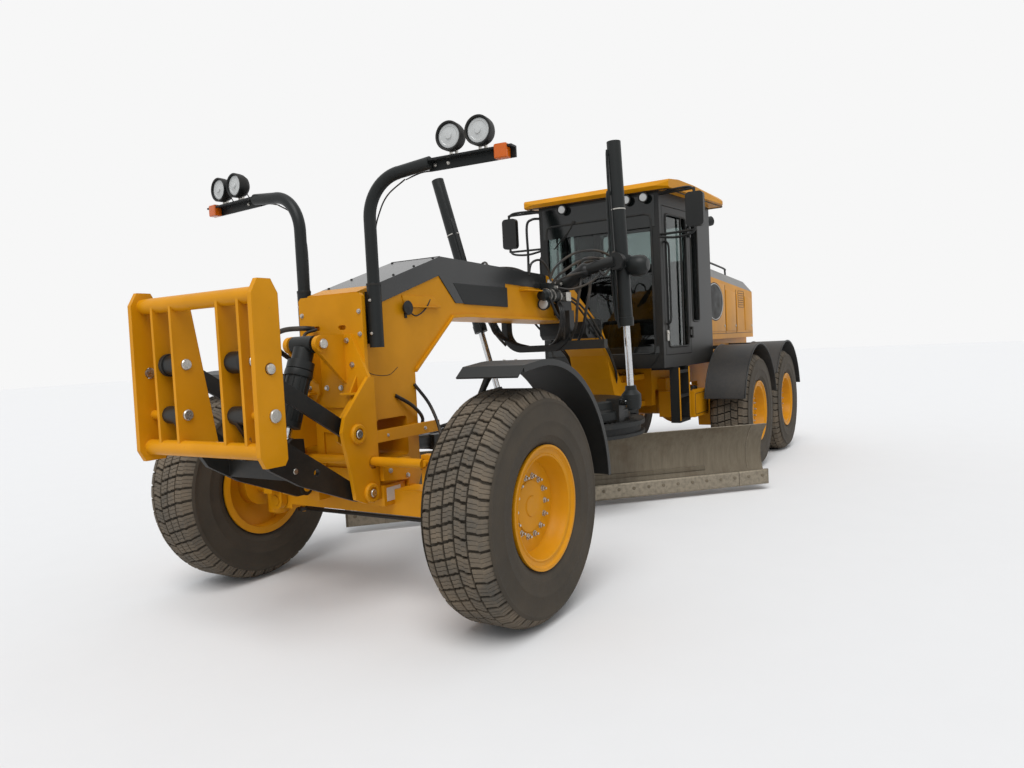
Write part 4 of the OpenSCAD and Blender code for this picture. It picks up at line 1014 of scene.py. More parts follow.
# Where the filter canisters start, beside the neck
CANISTER_X, CANISTER_Y, CANISTER_Z = -2.30, 0.285, 1.995
# Hoses beside the saddle, as (points, radius): loops to the arms, then drops to the drawbar
SADDLE_HOSES = [
    ([(-1.90, 0.221, 2.17), (-1.93, 0.235, 2.27), (-2.04, 0.262, 2.30), (-2.14, 0.28, 2.22),
      (-2.17, 0.28, 2.10)], 0.010),
    ([(-2.12, 0.29, 2.10), (-2.16, 0.34, 2.24), (-2.30, 0.46, 2.36), (-2.44, 0.60, 2.38),
      (-2.53, 0.70, 2.33)], 0.011),
    ([(-2.17, 0.29, 2.10), (-2.22, 0.36, 2.19), (-2.36, 0.50, 2.30), (-2.49, 0.64, 2.31),
      (-2.55, 0.70, 2.27)], 0.011),
    ([(-2.22, 0.29, 2.10), (-2.27, 0.38, 2.16), (-2.40, 0.52, 2.20), (-2.50, 0.64, 2.22)], 0.011),
    ([(-2.26, 0.30, 2.07), (-2.30, 0.42, 2.05), (-2.38, 0.56, 2.10), (-2.44, 0.64, 2.18)], 0.010),
    ([(-2.10, 0.285, 2.04), (-2.05, 0.33, 1.98), (-2.10, 0.35, 1.86), (-2.26, 0.34, 1.74),
      (-2.34, 0.30, 1.62)], 0.012),
    ([(-2.44, 0.46, 2.19), (-2.36, 0.47, 2.06), (-2.33, 0.45, 1.90), (-2.38, 0.40, 1.72),
      (-2.42, 0.30, 1.60)], 0.013),
    ([(-2.47, 0.52, 2.20), (-2.40, 0.545, 2.04), (-2.36, 0.52, 1.86), (-2.40, 0.46, 1.70),
      (-2.45, 0.38, 1.58)], 0.013),
]


class GRADER_OT_saddle(bpy.types.Operator):
    """Canisters, lamps, bolts, guides and hoses round the saddle, and the circle's drive and guard"""
    bl_idname = "grader.saddle"
    bl_label = "Saddle"

    def execute(self, context):
        make("saddle_canister", "grey", FRONT, self.canister)
        make("saddle_lamps", "clear", FRONT, self.lamps)
        make("saddle_bolts", "zinc", FRONT, self.fixings)
        make("saddle_hoses", "hose", FRONT, self.hoses)
        make("saddle_side_hoses", "hose", FRONT, self.side_hoses)
        make("saddle_fittings", "zinc", FRONT, self.fittings)
        make("saddle_brackets", "yellow", FRONT, self.brackets)
        make("saddle_guides", "black", FRONT, self.guides)
        make("hinge_hoses", "hose", FRONT, self.hinge_hoses)
        make("drawbar_drive", "grey", DRAWBAR, self.drive)
        make("drawbar_hoses", "hose", DRAWBAR, self.drive_hoses)
        make("circle_shoes", "black", DRAWBAR, self.shoes)
        make("circle_guard", "grey", DRAWBAR, self.guard)
        return {"FINISHED"}

    def canister(self, shape):
        """Filter canisters and valve body beside the neck, and the lamps' cases."""
        for side in (1, -1):
            lathe(shape, [(0, 0.030), (0.01, 0.052), (0.20, 0.055), (0.21, 0.060), (0.25, 0.060),
                          (0.26, 0.045), (0.32, 0.040), (0.325, 0)],
                  (CANISTER_X, side * CANISTER_Y, CANISTER_Z), AHEAD, 36)
            side_box(shape, side, (-2.28, -2.10), (0.215, 0.30), (2.045, 2.11), 0.008)
            lathe(shape, [(0, 0.026), (0.015, 0.046), (0.055, 0.055), (0.065, 0.053),
                          (0.058, 0.045), (0.058, 0)], (-2.09, side * 0.275, 1.925), AHEAD, 32)

    def lamps(self, shape):
        """Lamps that light the blade."""
        for side in (1, -1):
            lathe(shape, [(0, 0.044), (0.006, 0.036), (0.009, 0)],
                  (-2.032, side * 0.275, 1.925), AHEAD, 32)

    def fixings(self, shape):
        """Bolts of the saddle's side plates."""
        for side in (1, -1):
            bolts(shape, LEFT, 0.014, [(x, 0.282, z) for x, z in (
                (-2.52, 1.86), (-2.37, 1.86), (-2.50, 2.09), (-2.36, 2.11), (-2.34, 1.98))], side)

    def hoses(self, shape):
        """Bundles over the neck to the lift cylinders and down to the drawbar."""
        for side, reach in ((1, 0.76), (-1, 0.88)):
            for k in range(4):
                off = 0.032 * k
                hose(shape, [
                    (-3.02 + off, 0.10 + off / 2, 1.96 + off / 2), (-2.86 + off, 0.20, 2.17),
                    (-2.66 + off, 0.33 + off, 2.31 - off), (-2.50 + off / 2, 0.50 + off, 2.33 - off),
                    (-2.46 + off / 2, reach - 0.08, 2.30 - 1.5 * off),
                    (-2.50 + off / 3, reach - 0.005, 2.36 - off)], 0.012, 10, side)
            for k in range(3):
                off = 0.034 * k
                hose(shape, [(-2.30 + off, 0.29, 1.95), (-2.24 + off, 0.36, 1.86),
                             (-2.26 + off, 0.34, 1.70), (-2.38 + off, 0.22, 1.60),
                             (-2.42, 0.10, 1.56)], 0.010, 10, side)

    def side_hoses(self, shape):
        """Loops from the canisters to the arms, and drops to the drawbar, on both sides."""
        for side in (1, -1):
            for points, radius in SADDLE_HOSES:
                hose(shape, points, radius, 10, side)

    def guides(self, shape):
        """Guides of the lock bar, bolted round the neck where it turns down."""
        plate(shape, [(-2.89, 1.782), (-2.89, 1.660), (-2.94, 1.615), (-3.22, 1.615), (-3.26, 1.660),
                      (-3.26, 1.780), (-3.20, 1.805), (-2.98, 1.805)], -0.255, 0.255, 0.010)
        for side in (1, -1):
            bolts(shape, LEFT, 0.015, [(x, 0.2545, z) for x, z in (
                (-2.96, 1.74), (-2.96, 1.67), (-3.08, 1.74), (-3.08, 1.67), (-3.19, 1.74))], side)

    def brackets(self, shape):
        """Yellow brackets that carry the canisters."""
        for side in (1, -1):
            side_box(shape, side, (-1.99, -1.74), (0.213, 0.300), (2.030, 2.040), 0.002)
            side_plate(shape, side, [(-1.99, 2.040), (-1.74, 2.040), (-1.76, 2.062), (-1.97, 2.085)],
                       0.213, 0.221, 0.002)

    def hinge_hoses(self, shape):
        """Bundles down the gooseneck's rear leg to the hinge."""
        for side in (1, -1):
            for off in (0, 0.034):
                hose(shape, [(x, y, z - off) for x, y, z in (
                    (-2.56, 0.20, 2.02), (-2.66, 0.26, 1.98), (-2.86, 0.29, 1.86 - off),
                    (-3.12, 0.275, 1.70 - off), (-3.42, 0.25, 1.48), (-3.60, 0.24, 1.26),
                    (-3.68, 0.20, 1.15))], 0.0105, 10, side)

    def fittings(self, shape):
        """Clamp bands, hose ends and unions on the canisters."""
        for side in (1, -1):
            for along in (0.05, 0.16, 0.23):
                band(shape, (CANISTER_X + along, side * CANISTER_Y, CANISTER_Z), AHEAD,
                     0.054, 0.0635, 0.012, 36)
            side_box(shape, side, (-2.46, -2.36), (0.284, 0.330), (1.955, 2.035), 0.006)
            for x, y, z, axis in (
                    (-2.30, 0.285, 1.985, BACK), (-2.12, 0.29, 2.105, UP), (-2.17, 0.28, 2.105, UP),
                    (-2.22, 0.29, 2.105, UP), (-2.20, 0.30, 2.072, (0, side, 0))):
                lathe(shape, [(0, 0.019), (0.014, 0.019), (0.016, 0.014), (0.030, 0.014)],
                      (x, side * y, z), axis, 6)

    def drive(self, shape):
        """Circle drive: gearbox with its motor on top."""
        lathe(shape, [(0, 0.17), (0.03, 0.17), (0.035, 0.13), (0.10, 0.12), (0.11, 0.09),
                      (0.15, 0.085), (0.155, 0.05), (0.20, 0.048), (0.205, 0)],
              (-2.23, 0.08, 0.955), UP, 40)
        box(shape, (-2.30, 0.02, 0.99), (-2.16, 0.14, 1.04), 0.01)

    def drive_hoses(self, shape):
        """Hoses from the drive along the drawbar."""
        for side in (1, -1):
            hose(shape, [(-2.20, 0.08 + side * 0.05, 1.10), (-2.08, 0.09 + side * 0.10, 1.14),
                         (-1.85, 0.06 + side * 0.18, 1.04), (-1.45, side * 0.17, 1.00),
                         (-1.05, side * 0.11, 0.99), (-0.80, side * 0.06, 0.985)], 0.013, 12)

    def guard(self, shape):
        """Drum over the drawbar's ring plate, with a flange at its foot."""
        lathe(shape, [(0.868, 0.556), (0.868, 0.602), (0.874, 0.608), (0.938, 0.608), (0.948, 0.600),
                      (0.948, 0.574), (1.030, 0.570), (1.044, 0.556), (1.044, 0.200),
                      (1.030, 0.200), (1.026, 0.546)], CIRCLE.translation, UP, 96, closed=True)

    def shoes(self, shape):
        """Shoes that hold the circle up under the drawbar, with their bolts."""
        for turn in (35, 145, 215, 325):
            corner = bmesh.new()
            box(corner, (0.50, -0.07, 0.857), (0.765, 0.07, 0.905), 0.006)
            box(corner, (0.7445, -0.07, 0.765), (0.775, 0.07, 0.905), 0.006)
            bolts(corner, UP, 0.013, [(x, y, 0.905) for x in (0.62, 0.71) for y in (-0.04, 0.04)])
            corner.transform(CIRCLE @ Matrix.Rotation(math.radians(turn), 4, "Z"))
            mesh = bpy.data.meshes.new("shoe")
            corner.to_mesh(mesh)
            corner.free()
            shape.from_mesh(mesh)
            bpy.data.meshes.remove(mesh)


# Lift cylinders: body, trunnion and lower ball in machine coordinates, and side
LIFTS = [
    ("cylinder_left", (-2.600, 0.775, 2.270), (-2.600, 0.815, 1.020), 1),
    ("cylinder_right", (-2.600, -0.912, 2.270), (-2.600, -0.560, 1.020), -1),
]


class GRADER_OT_cylinders(bpy.types.Operator):
    """Fittings of the lift and front cylinders, and the pins and collars of the front lift group"""
    bl_idname = "grader.cylinders"
    bl_label = "Cylinders"

    def execute(self, context):
        for body, top, ball, side in LIFTS:
            top, ball, out = Vector(top), Vector(ball), Vector((0, side, 0))
            up = (top - ball).normalized()
            make(f"{body}_ball_caps", "grey", f"{body}_rod", partial(self.ball_cap, ball, up, out))
            make(f"{body}_bands", "zinc", body, partial(self.clamp, top, up))
            make(f"{body}_glands", "grey", body, partial(self.glands, top, up, out))
            make(f"{body}_pipes", "grey", body, partial(self.pipes, top, up, out))
        make("nose_gland", "grey", "nose_cylinder", self.nose)
        make("front_lift_pins", "zinc", CARRIER, self.carrier)
        make("carrier_buffers", "plastic", CARRIER, self.buffers)
        make("lower_arm_bolts", "zinc", "lift_arm", self.arm)
        return {"FINISHED"}

    def ball_cap(self, ball, up, out, shape):
        """Socket over the rod's ball, open on the side of the drawbar."""
        lathe(shape, [(0.034, 0.064), (0.034, 0.084), (0.040, 0.088), (0.075, 0.088), (0.100, 0.066),
                      (0.115, 0.052), (0.150, 0.048), (0.155, 0.044), (0.155, 0.030)], ball, up, 36)
        around = up.cross(out).normalized()
        outward = around.cross(up)
        section = [(-0.062, 0.050), (-0.062, 0.060), (-0.050, 0.075), (-0.015, 0.086),
                   (0.036, 0.088), (0.036, 0.070), (-0.015, 0.068)]
        rings = []
        for turn in range(-100, 101, 10):
            arm = outward * math.cos(math.radians(turn)) + around * math.sin(math.radians(turn))
            rings.append(add_ring(shape, [ball + up * along + arm * reach for along, reach in section]))
        bridge(shape, rings)

    def clamp(self, top, up, shape):
        """Clamp band round the barrel above its trunnion."""
        band(shape, top + up * 0.46, up, 0.0628, 0.0655, 0.010, 40)

    def glands(self, top, up, out, shape):
        """Gland at the barrel's foot, collar at its trunnion and housing outside that."""
        lathe(shape, [(0, 0.034), (0, 0.066), (0.055, 0.068), (0.075, 0.068), (0.078, 0.060),
                      (0.078, 0.034)], top - up * 0.565, up, 40, closed=True)
        lathe(shape, [(-0.055, 0.0625), (-0.055, 0.084), (-0.045, 0.088), (0.045, 0.088),
                      (0.055, 0.084), (0.055, 0.0625)], top, up, 40, closed=True)
        lathe(shape, [(0.0, 0.050), (0.02, 0.070), (0.06, 0.088), (0.12, 0.092), (0.17, 0.080),
                      (0.20, 0.050), (0.205, 0)], top + out * 0.04 + Vector((-0.01, 0, -0.04)), out, 36)

    def pipes(self, top, up, out, shape):
        """Feed pipes along the barrel."""
        for off, low, high in ((0.050, -0.50, 0.93), (0.074, -0.46, 0.60)):
            away = out * -off + Vector((0.060, 0, 0))
            hose(shape, [top + up * low + away * 0.55, top + up * (low + 0.03) + away,
                         top + up * (high - 0.06) + away, top + up * high + away * 0.6], 0.011, 10)

    def nose(self, shape):
        """Bellows clamp, gland and rods on the front cylinder."""
        top, foot = Vector((TOP_PIN[0], 0, TOP_PIN[1])), Vector((0.655, 0, 1.075))
        down = (foot - top).normalized()
        lathe(shape, [(0, 0.073), (0, 0.082), (0.025, 0.084), (0.040, 0.082), (0.040, 0.073)],
              top + down * 0.165, down, 40, closed=True)
        lathe(shape, [(0, 0.037), (0, 0.076), (0.03, 0.076), (0.035, 0.060), (0.035, 0.037)],
              top + down * 0.475, down, 40, closed=True)
        for turn in range(0, 360, 30):
            away = Matrix.Rotation(math.radians(turn), 3, down) @ Vector(LEFT) * 0.0725
            tube(shape, [top + down * 0.205 + away, top + down * 0.47 + away], 0.005, 6)

    def carrier(self, shape):
        """Pin heads on the carrier's plates and ribs."""
        for side in (1, -1):
            disc(shape, (CARRIER_LOW[0], side * 0.500, CARRIER_LOW[1]), (0, side, 0), 0.034, 0.012)
            for (x, z), y, out in ((CARRIER_HIGH, 0.358, side), (CARRIER_HIGH, 0.180, -side),
                                   (CARRIER_LOW, 0.180, -side)):
                disc(shape, (x, side * y, z), (0, out, 0), 0.030, 0.012)
            lathe(shape, [(-0.038, 0.018), (-0.036, 0.027), (-0.027, 0.027), (-0.0265, 0.019),
                          (0.0, 0.019), (0.003, 0.027), (0.010, 0.025), (0.012, 0)],
                  (1.141, side * 0.500, 1.531), (0, side, 0), 24)

    def buffers(self, shape):
        """Black collars beside the eyes, between the carrier's ribs."""
        for side in (1, -1):
            lathe(shape, [(0, 0.040), (0.004, 0.062), (0.03, 0.062), (0.034, 0.040)],
                  (CARRIER_HIGH[0], side * 0.300, CARRIER_HIGH[1]), (0, side, 0), 40)

    def arm(self, shape):
        """Pins of the lower arm's cross beam."""
        for side in (1, -1):
            disc(shape, (0.815, side * 0.265, 0.962), (0, side, 0), 0.016, 0.006, 24)


# How far the doors' faces turn in towards the windshield
DOOR_TURN = math.atan2(0.070, 0.700)
# Side of the cab behind the doors
CAB_SIDE = 0.770
# Paths of the tubes that carry a mirror, above and below it
MIRROR_LOOPS = [
    [(-3.80, 0.70, 3.055), (-3.79, 0.84, 3.075), (-3.775, 1.02, 3.075), (-3.770, 1.075, 3.04),
     (-3.770, 1.080, 2.98)],
    [(-3.80, 0.69, 2.62), (-3.79, 0.86, 2.595), (-3.775, 1.02, 2.61), (-3.770, 1.075, 2.65),
     (-3.770, 1.080, 2.72)],
]


def door_frame(side):
    """Local frame of a door: X ahead along it from its hinge, Y out of its face, mirrored on the right."""
    return (Matrix.Diagonal((1, side, 1, 1)) @ Matrix.Translation((-4.490, CAB_SIDE, 0))
            @ Matrix.Rotation(-DOOR_TURN, 4, "Z"))


class GRADER_OT_cab(bpy.types.Operator):
    """Seals, wipers, mirrors, lamps, handles and the seat with its controls"""
    bl_idname = "grader.cab"
    bl_label = "Cab"
    # Feet of the lamps at the front and rear edges of the roof
    FRONT_LAMPS = [(-3.735, y, 3.035) for y in (-0.38, 0.37, 0.56)]
    REAR_LAMPS = [(-5.300, y, 3.030) for y in (0.60, -0.60)]
    FRONT_AIM, REAR_AIM = (1, 0, -0.12), (-1, 0, -0.15)

    def execute(self, context):
        make("window_seals", "plastic", REAR, self.seals)
        make("mirror_loops", "fender", REAR, self.loops)
        make("mirror_faces", "mirror", REAR, self.faces)
        make("cab_lamp_cases", "plastic", REAR, self.lamp_cases)
        make("cab_lamp_lenses", "clear", REAR, self.lamp_lenses)
        make("wipers", "plastic", REAR, self.wipers)
        make("tinted_panels", "tinted", REAR, self.tinted)
        seat = make("seat", "seat", REAR, self.seat)
        make("controls", "plastic", REAR, self.controls)
        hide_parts("cab_interior")
        make("roof_gutter", "plastic", REAR, self.gutter)
        make("cab_chin", "black", REAR, self.chin)
        for label, side in SIDES:
            place, door = door_frame(side), f"cab_door_{label}"
            make(f"door_{label}_seal", "plastic", door, self.door_seal, place)
            make(f"door_{label}_handle", "fender", door, self.door_handle, place)
            make(f"door_{label}_latch", "zinc", door, self.door_latch, place)
        return {"FINISHED"}

    def seals(self, shape):
        """Rubber round the windshield, the quarter windows and the rear window."""
        windshield = rectangle((-0.612, 1.423), (0.612, 2.867))
        frame_tube(shape, [(-3.792, y, z) for y, z in windshield], 0.014, 0.07)
        for side in (1, -1):
            quarter = rectangle((-4.798, 1.753), (-4.562, 2.917))
            frame_tube(shape, [(x, side * CAB_SIDE, z) for x, z in quarter], 0.010, 0.05)
        rear = rectangle((-0.612, 2.403), (0.612, 2.917))
        frame_tube(shape, [(-5.291, y, z) for y, z in rear], 0.012, 0.06)

    def tinted(self, shape):
        """Dark glass above and below the windshield's clear part."""
        for low, high in ((2.73, 3.055), (1.425, 1.50)):
            plate(shape, rectangle((-0.655, low), (0.655, high)), -3.7895, -3.7865, 0, "YZ")

    def loops(self, shape):
        """Tubes that carry the mirrors, and the grab hoop at the right corner."""
        for side in (1, -1):
            for path in MIRROR_LOOPS:
                hose(shape, path, 0.012, 12, side)
        hose(shape, [(-3.80, -0.69, 2.98), (-3.73, -0.76, 2.97), (-3.70, -0.81, 2.90),
                     (-3.70, -0.81, 2.60), (-3.70, -0.81, 2.25), (-3.73, -0.76, 2.17),
                     (-3.80, -0.69, 2.15)], 0.014, 12)

    def faces(self, shape):
        """Mirror glass, facing the operator."""
        for y in (1.08, -1.08):
            box(shape, (-3.8185, y - 0.074, 2.705), (-3.8155, y + 0.074, 2.995), 0.001, 1)

    def case(self, shape, foot, aim):
        """Case of one work lamp."""
        lathe(shape, [(0, 0.018), (0.008, 0.040), (0.045, 0.052), (0.060, 0.053), (0.062, 0.047),
                      (0.052, 0.044), (0.052, 0)], foot, aim, 32)

    def lamp_cases(self, shape):
        """Work lamps under the roof's front edge, and at the rear corners."""
        for x, y, z in self.FRONT_LAMPS:
            self.case(shape, (x - 0.045, y, z), self.FRONT_AIM)
            box(shape, (x - 0.025, y - 0.010, z + 0.02), (x + 0.005, y + 0.010, 3.0895), 0.002)
        for foot in self.REAR_LAMPS:
            self.case(shape, foot, self.REAR_AIM)

    def lamp_lenses(self, shape):
        """Lenses of the cab's lamps."""
        lamps = [((x - 0.045, y, z), self.FRONT_AIM) for x, y, z in self.FRONT_LAMPS]
        for foot, aim in lamps + [(foot, self.REAR_AIM) for foot in self.REAR_LAMPS]:
            lathe(shape, [(0.050, 0.0435), (0.057, 0.038), (0.061, 0)], foot, aim, 32)

    def wipers(self, shape):
        """Wiper arms with their blades."""
        for pivot, tip, ends in (
                ((-3.783, -0.27, 2.885), (-3.783, -0.40, 2.70),
                 [(-3.787, -0.52, 2.62), (-3.787, -0.30, 2.83)]),
                ((-3.783, 0.30, 2.885), (-3.783, 0.16, 2.62),
                 [(-3.787, 0.10, 2.48), (-3.787, 0.22, 2.76)])):
            tube(shape, [pivot, tip], 0.006, 8)
            tube(shape, ends, 0.007, 6)
            lathe(shape, [(0, 0.018), (0.012, 0.018), (0.014, 0)], pivot, AHEAD, 20)

    def seat(self, shape):
        """Operator's seat with its cushion, backrest, headrest, armrests and suspension."""
        x = -4.75
        for low, high, half, (bottom, top), bevel, segments in (
                (-0.20, 0.18, 0.19, (1.321, 1.60), 0.03, 3),
                (-0.24, 0.26, 0.255, (1.615, 1.755), 0.05, 4),
                (-0.325, -0.205, 0.245, (1.70, 2.33), 0.05, 4),
                (-0.315, -0.215, 0.15, (2.34, 2.445), 0.04, 4)):
            box(shape, (x + low, -half, bottom), (x + high, half, top), bevel, segments)
        for side in (1, -1):
            side_box(shape, side, (x - 0.20, x + 0.20), (0.262, 0.340), (1.86, 1.925), 0.02, 3)

    def controls(self, shape):
        """Steering wheel on its column, levers on the armrests, and the dash pod."""
        centre = Vector((-4.23, 0, 2.02))
        axis = Vector((-0.30, 0, 1)).normalized()
        side = Vector(LEFT)
        across = axis.cross(side)
        rim = [centre + (side * math.cos(t) + across * math.sin(t)) * 0.185 for t in turns(40)]
        closed_tube(shape, rim, 0.015, 10)
        for t in (math.radians(90), math.radians(210), math.radians(330)):
            spoke = (side * math.cos(t) + across * math.sin(t)) * 0.18
            tube(shape, [centre, centre + spoke], 0.010, 8)
        lathe(shape, [(-0.03, 0.05), (0.012, 0.045), (0.016, 0)], centre, axis, 24)
        hose(shape, [(-4.05, 0, 1.322), (-4.08, 0, 1.55), (-4.16, 0, 1.85), centre], 0.045, 16)
        box(shape, (-4.20, -0.17, 1.80), (-4.06, 0.17, 1.96), 0.03, 3)
        for sign in (1, -1):
            for k in range(3):
                spot = Vector((-4.58 + 0.035 * k, sign * (0.285 + 0.016 * k), 1.925))
                tube(shape, [spot, spot + Vector((0.008, 0, 0.085))], 0.006, 8)
                lathe(shape, [(0, 0.006), (0.010, 0.013), (0.032, 0.014), (0.040, 0)],
                      spot + Vector((0.008, 0, 0.08)), UP, 16)

    def gutter(self, shape):
        """Rubber lip under the roof's edge."""
        frame_tube(shape, [(x, y, 3.092) for x, y in (
            (-3.745, -0.80), (-3.745, 0.80), (-5.34, 0.93), (-5.34, -0.93))], 0.010, 0.05)

    def chin(self, shape):
        """Panel under the windshield, with rounded lower corners."""
        plate(shape, [(-0.64, 1.415), (0.64, 1.415), (0.60, 1.33), (0.54, 1.285), (-0.54, 1.285),
                      (-0.60, 1.33)], -3.792, -3.780, 0.004, "YZ")

    def door_seal(self, shape):
        """Rubber round the door's glass, with the bar that divides it."""
        glass = rectangle((0.072, 1.483), (0.568, 2.867))
        frame_tube(shape, [(x, 0.001, z) for x, z in glass], 0.011, 0.05)
        tube(shape, [(0.20, 0.0, 1.48), (0.20, 0.0, 2.87)], 0.012, 8)

    def door_handle(self, shape):
        """Upright grab bar near the door's front edge."""
        hose(shape, [(0.605, y, z) for y, z in (
            (0.0, 1.72), (0.045, 1.76), (0.050, 1.95), (0.050, 2.35), (0.045, 2.54), (0.0, 2.58))],
             0.011, 12)

    def door_latch(self, shape):
        """Latch with its button."""
        box(shape, (0.585, -0.002, 1.55), (0.630, 0.014, 1.66), 0.004)
        lathe(shape, [(0, 0.012), (0.010, 0.012), (0.013, 0)], (0.607, 0.013, 1.63), LEFT, 20)


class GRADER_OT_rear(bpy.types.Operator):
    """Hood panels, ovals and rails, stack bend, tank fittings, edges of fenders and steps, and rear lamps"""
    bl_idname = "grader.rear"
    bl_label = "Rear frame"
    # The rear fenders' arcs as (centre, start, end), their radius and the height of their centres
    ARCS = [(-5.390, 15, 167), (-6.930, 30, 167)]
    ARC_R, ARC_Z = 0.792, 0.672

    def execute(self, context):
        make("hood_lines", "plastic", REAR, self.lines)
        make("hood_panels", "yellow", REAR, self.panels)
        make("hood_ovals", "plastic", REAR, self.ovals)
        make("hood_oval_rims", "label", REAR, self.oval_rims)
        make("hood_rails", "fender", REAR, self.rails)
        make("hood_fixings", "zinc", REAR, self.fixings)
        make("stack_bend", "fender", REAR, self.stack)
        make("tank_caps", "plastic", REAR, self.caps)
        make("fender_edges", "fender", REAR, self.fender_edges)
        make("rear_lamps", "amber", REAR, self.rear_lamps)
        make("step_edges", "yellow", REAR, self.step_edges)
        return {"FINISHED"}

    def lines(self, shape):
        """Gaps between the hood's panels, and the frame and slots of its vents."""
        for y in (0.6205, -0.6205):
            for start, end in (((-5.35, 1.60), (-7.86, 1.60)), ((-6.42, 1.60), (-6.42, 2.24)),
                               ((-6.96, 1.60), (-6.96, 2.20))):
                tube(shape, [(start[0], y, start[1]), (end[0], y, end[1])], 0.003, 6)
            vent = rectangle((-7.08, 1.96), (-7.40, 2.19))
            frame_tube(shape, [(x, y, z) for x, z in vent], 0.003, 0.03)
            for k in range(6):
                z = 1.995 + 0.032 * k
                tube(shape, [(-7.12, y, z), (-7.36, y, z)], 0.004, 6)

    def panels(self, shape):
        """Pressed panels a little proud of the hood's sides."""
        for side in (1, -1):
            for start, end, top in ((-5.40, -6.39, 2.27), (-6.45, -6.93, 2.18),
                                    (-6.99, -7.05, 2.14), (-7.43, -7.84, 2.12)):
                outline = [(start, 1.63), (end, 1.63), (end, top - 0.02), (start, top)]
                side_plate(shape, side, outline, 0.619, 0.626, 0.003)

    def oval(self, size):
        """Points of the oval on the hood's side."""
        return [(-5.93 + 0.375 * size * math.cos(t), 2.010 + 0.245 * size * math.sin(t))
                for t in turns(48)]

    def ovals(self, shape):
        """Bare dark ovals."""
        for side in (1, -1):
            side_plate(shape, side, self.oval(1.0), 0.625, 0.6295, 0.001)

    def oval_rims(self, shape):
        """Pale rims of the ovals."""
        for side in (1, -1):
            rim = [Vector((x, side * 0.629, z)) for x, z in self.oval(0.93)]
            closed_tube(shape, rim, 0.005, 8)

    def rails(self, shape):
        """Rails along the hood's top edges."""
        for side in (1, -1):
            hose(shape, [(x, 0.47, z) for x, z in (
                (-5.50, 2.505), (-5.51, 2.56), (-5.56, 2.585), (-6.20, 2.548), (-6.95, 2.505),
                (-7.00, 2.475), (-7.01, 2.41))], 0.013, 12, side)

    def fixings(self, shape):
        """Latches of the hood's panels, and bolts of the bumper and the chassis."""
        for side in (1, -1):
            for x in (-6.35, -6.90, -7.80):
                disc(shape, (x, side * 0.626, 1.70), (0, side, 0), 0.018, 0.006, 24)
        for side in (1, -1):
            bolts(shape, LEFT, 0.014, [(-7.922, 0.500, z) for z in (0.96, 1.15, 1.34)], side)
        for side in (1, -1):
            bolts(shape, LEFT, 0.016, [(x, 0.810, z) for x in (-5.50, -6.16, -6.80)
                                       for z in (0.66, 0.80)], side)

    def stack(self, shape):
        """Curved outlet on the exhaust."""
        low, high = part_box("exhaust_stack")
        top = Vector((low.x + 0.066, (low.y + high.y) / 2, high.z - 0.02)) - PLACE
        hose(shape, [top + Vector(step) for step in (
            (0, 0, -0.05), (-0.01, 0.005, 0.02), (-0.05, 0.03, 0.10), (-0.13, 0.085, 0.165),
            (-0.23, 0.16, 0.195))], 0.064, 28)

    def caps(self, shape):
        """Filler caps and drain plugs, and then the outlines of the battery boxes' lids."""
        for side in (1, -1):
            disc(shape, (-4.80, side * 0.66, 0.980), UP, 0.055, 0.035)
            disc(shape, (-4.55, side * 0.70, 0.980), UP, 0.035, 0.020)
        for y in (0.801, -0.801):
            lid = rectangle((-4.45, 0.72), (-4.91, 0.95))
            frame_tube(shape, [(x, y, z) for x, z in lid], 0.003, 0.03)

    def fender_edges(self, shape):
        """Rolled edges along the rear fenders."""
        for side in (1, -1):
            for centre, start, end in self.ARCS:
                arc = [math.radians(start + (end - start) * k / 40) for k in range(41)]
                for y in (0.852, 1.298):
                    tube(shape, [(centre + self.ARC_R * math.cos(t), side * y,
                                  self.ARC_Z + self.ARC_R * math.sin(t)) for t in arc], 0.009, 8)

    def rear_lamps(self, shape):
        """Tail lamps on the bumper."""
        for side in (1, -1):
            side_box(shape, side, (-7.955, -7.915), (0.36, 0.47), (1.399, 1.465), 0.008)

    def step_edges(self, shape):
        """Yellow edges of the steps."""
        for side in (1, -1):
            for x in (-4.3305, -4.0105):
                side_box(shape, side, (x, x + 0.020), (0.779, 0.787), (0.70, 1.26), 0.001, 1)


# Local frame of the blade: X out of its back, Y along it
BLADE = CIRCLE @ Matrix.Rotation(math.radians(45.7), 4, "Z")


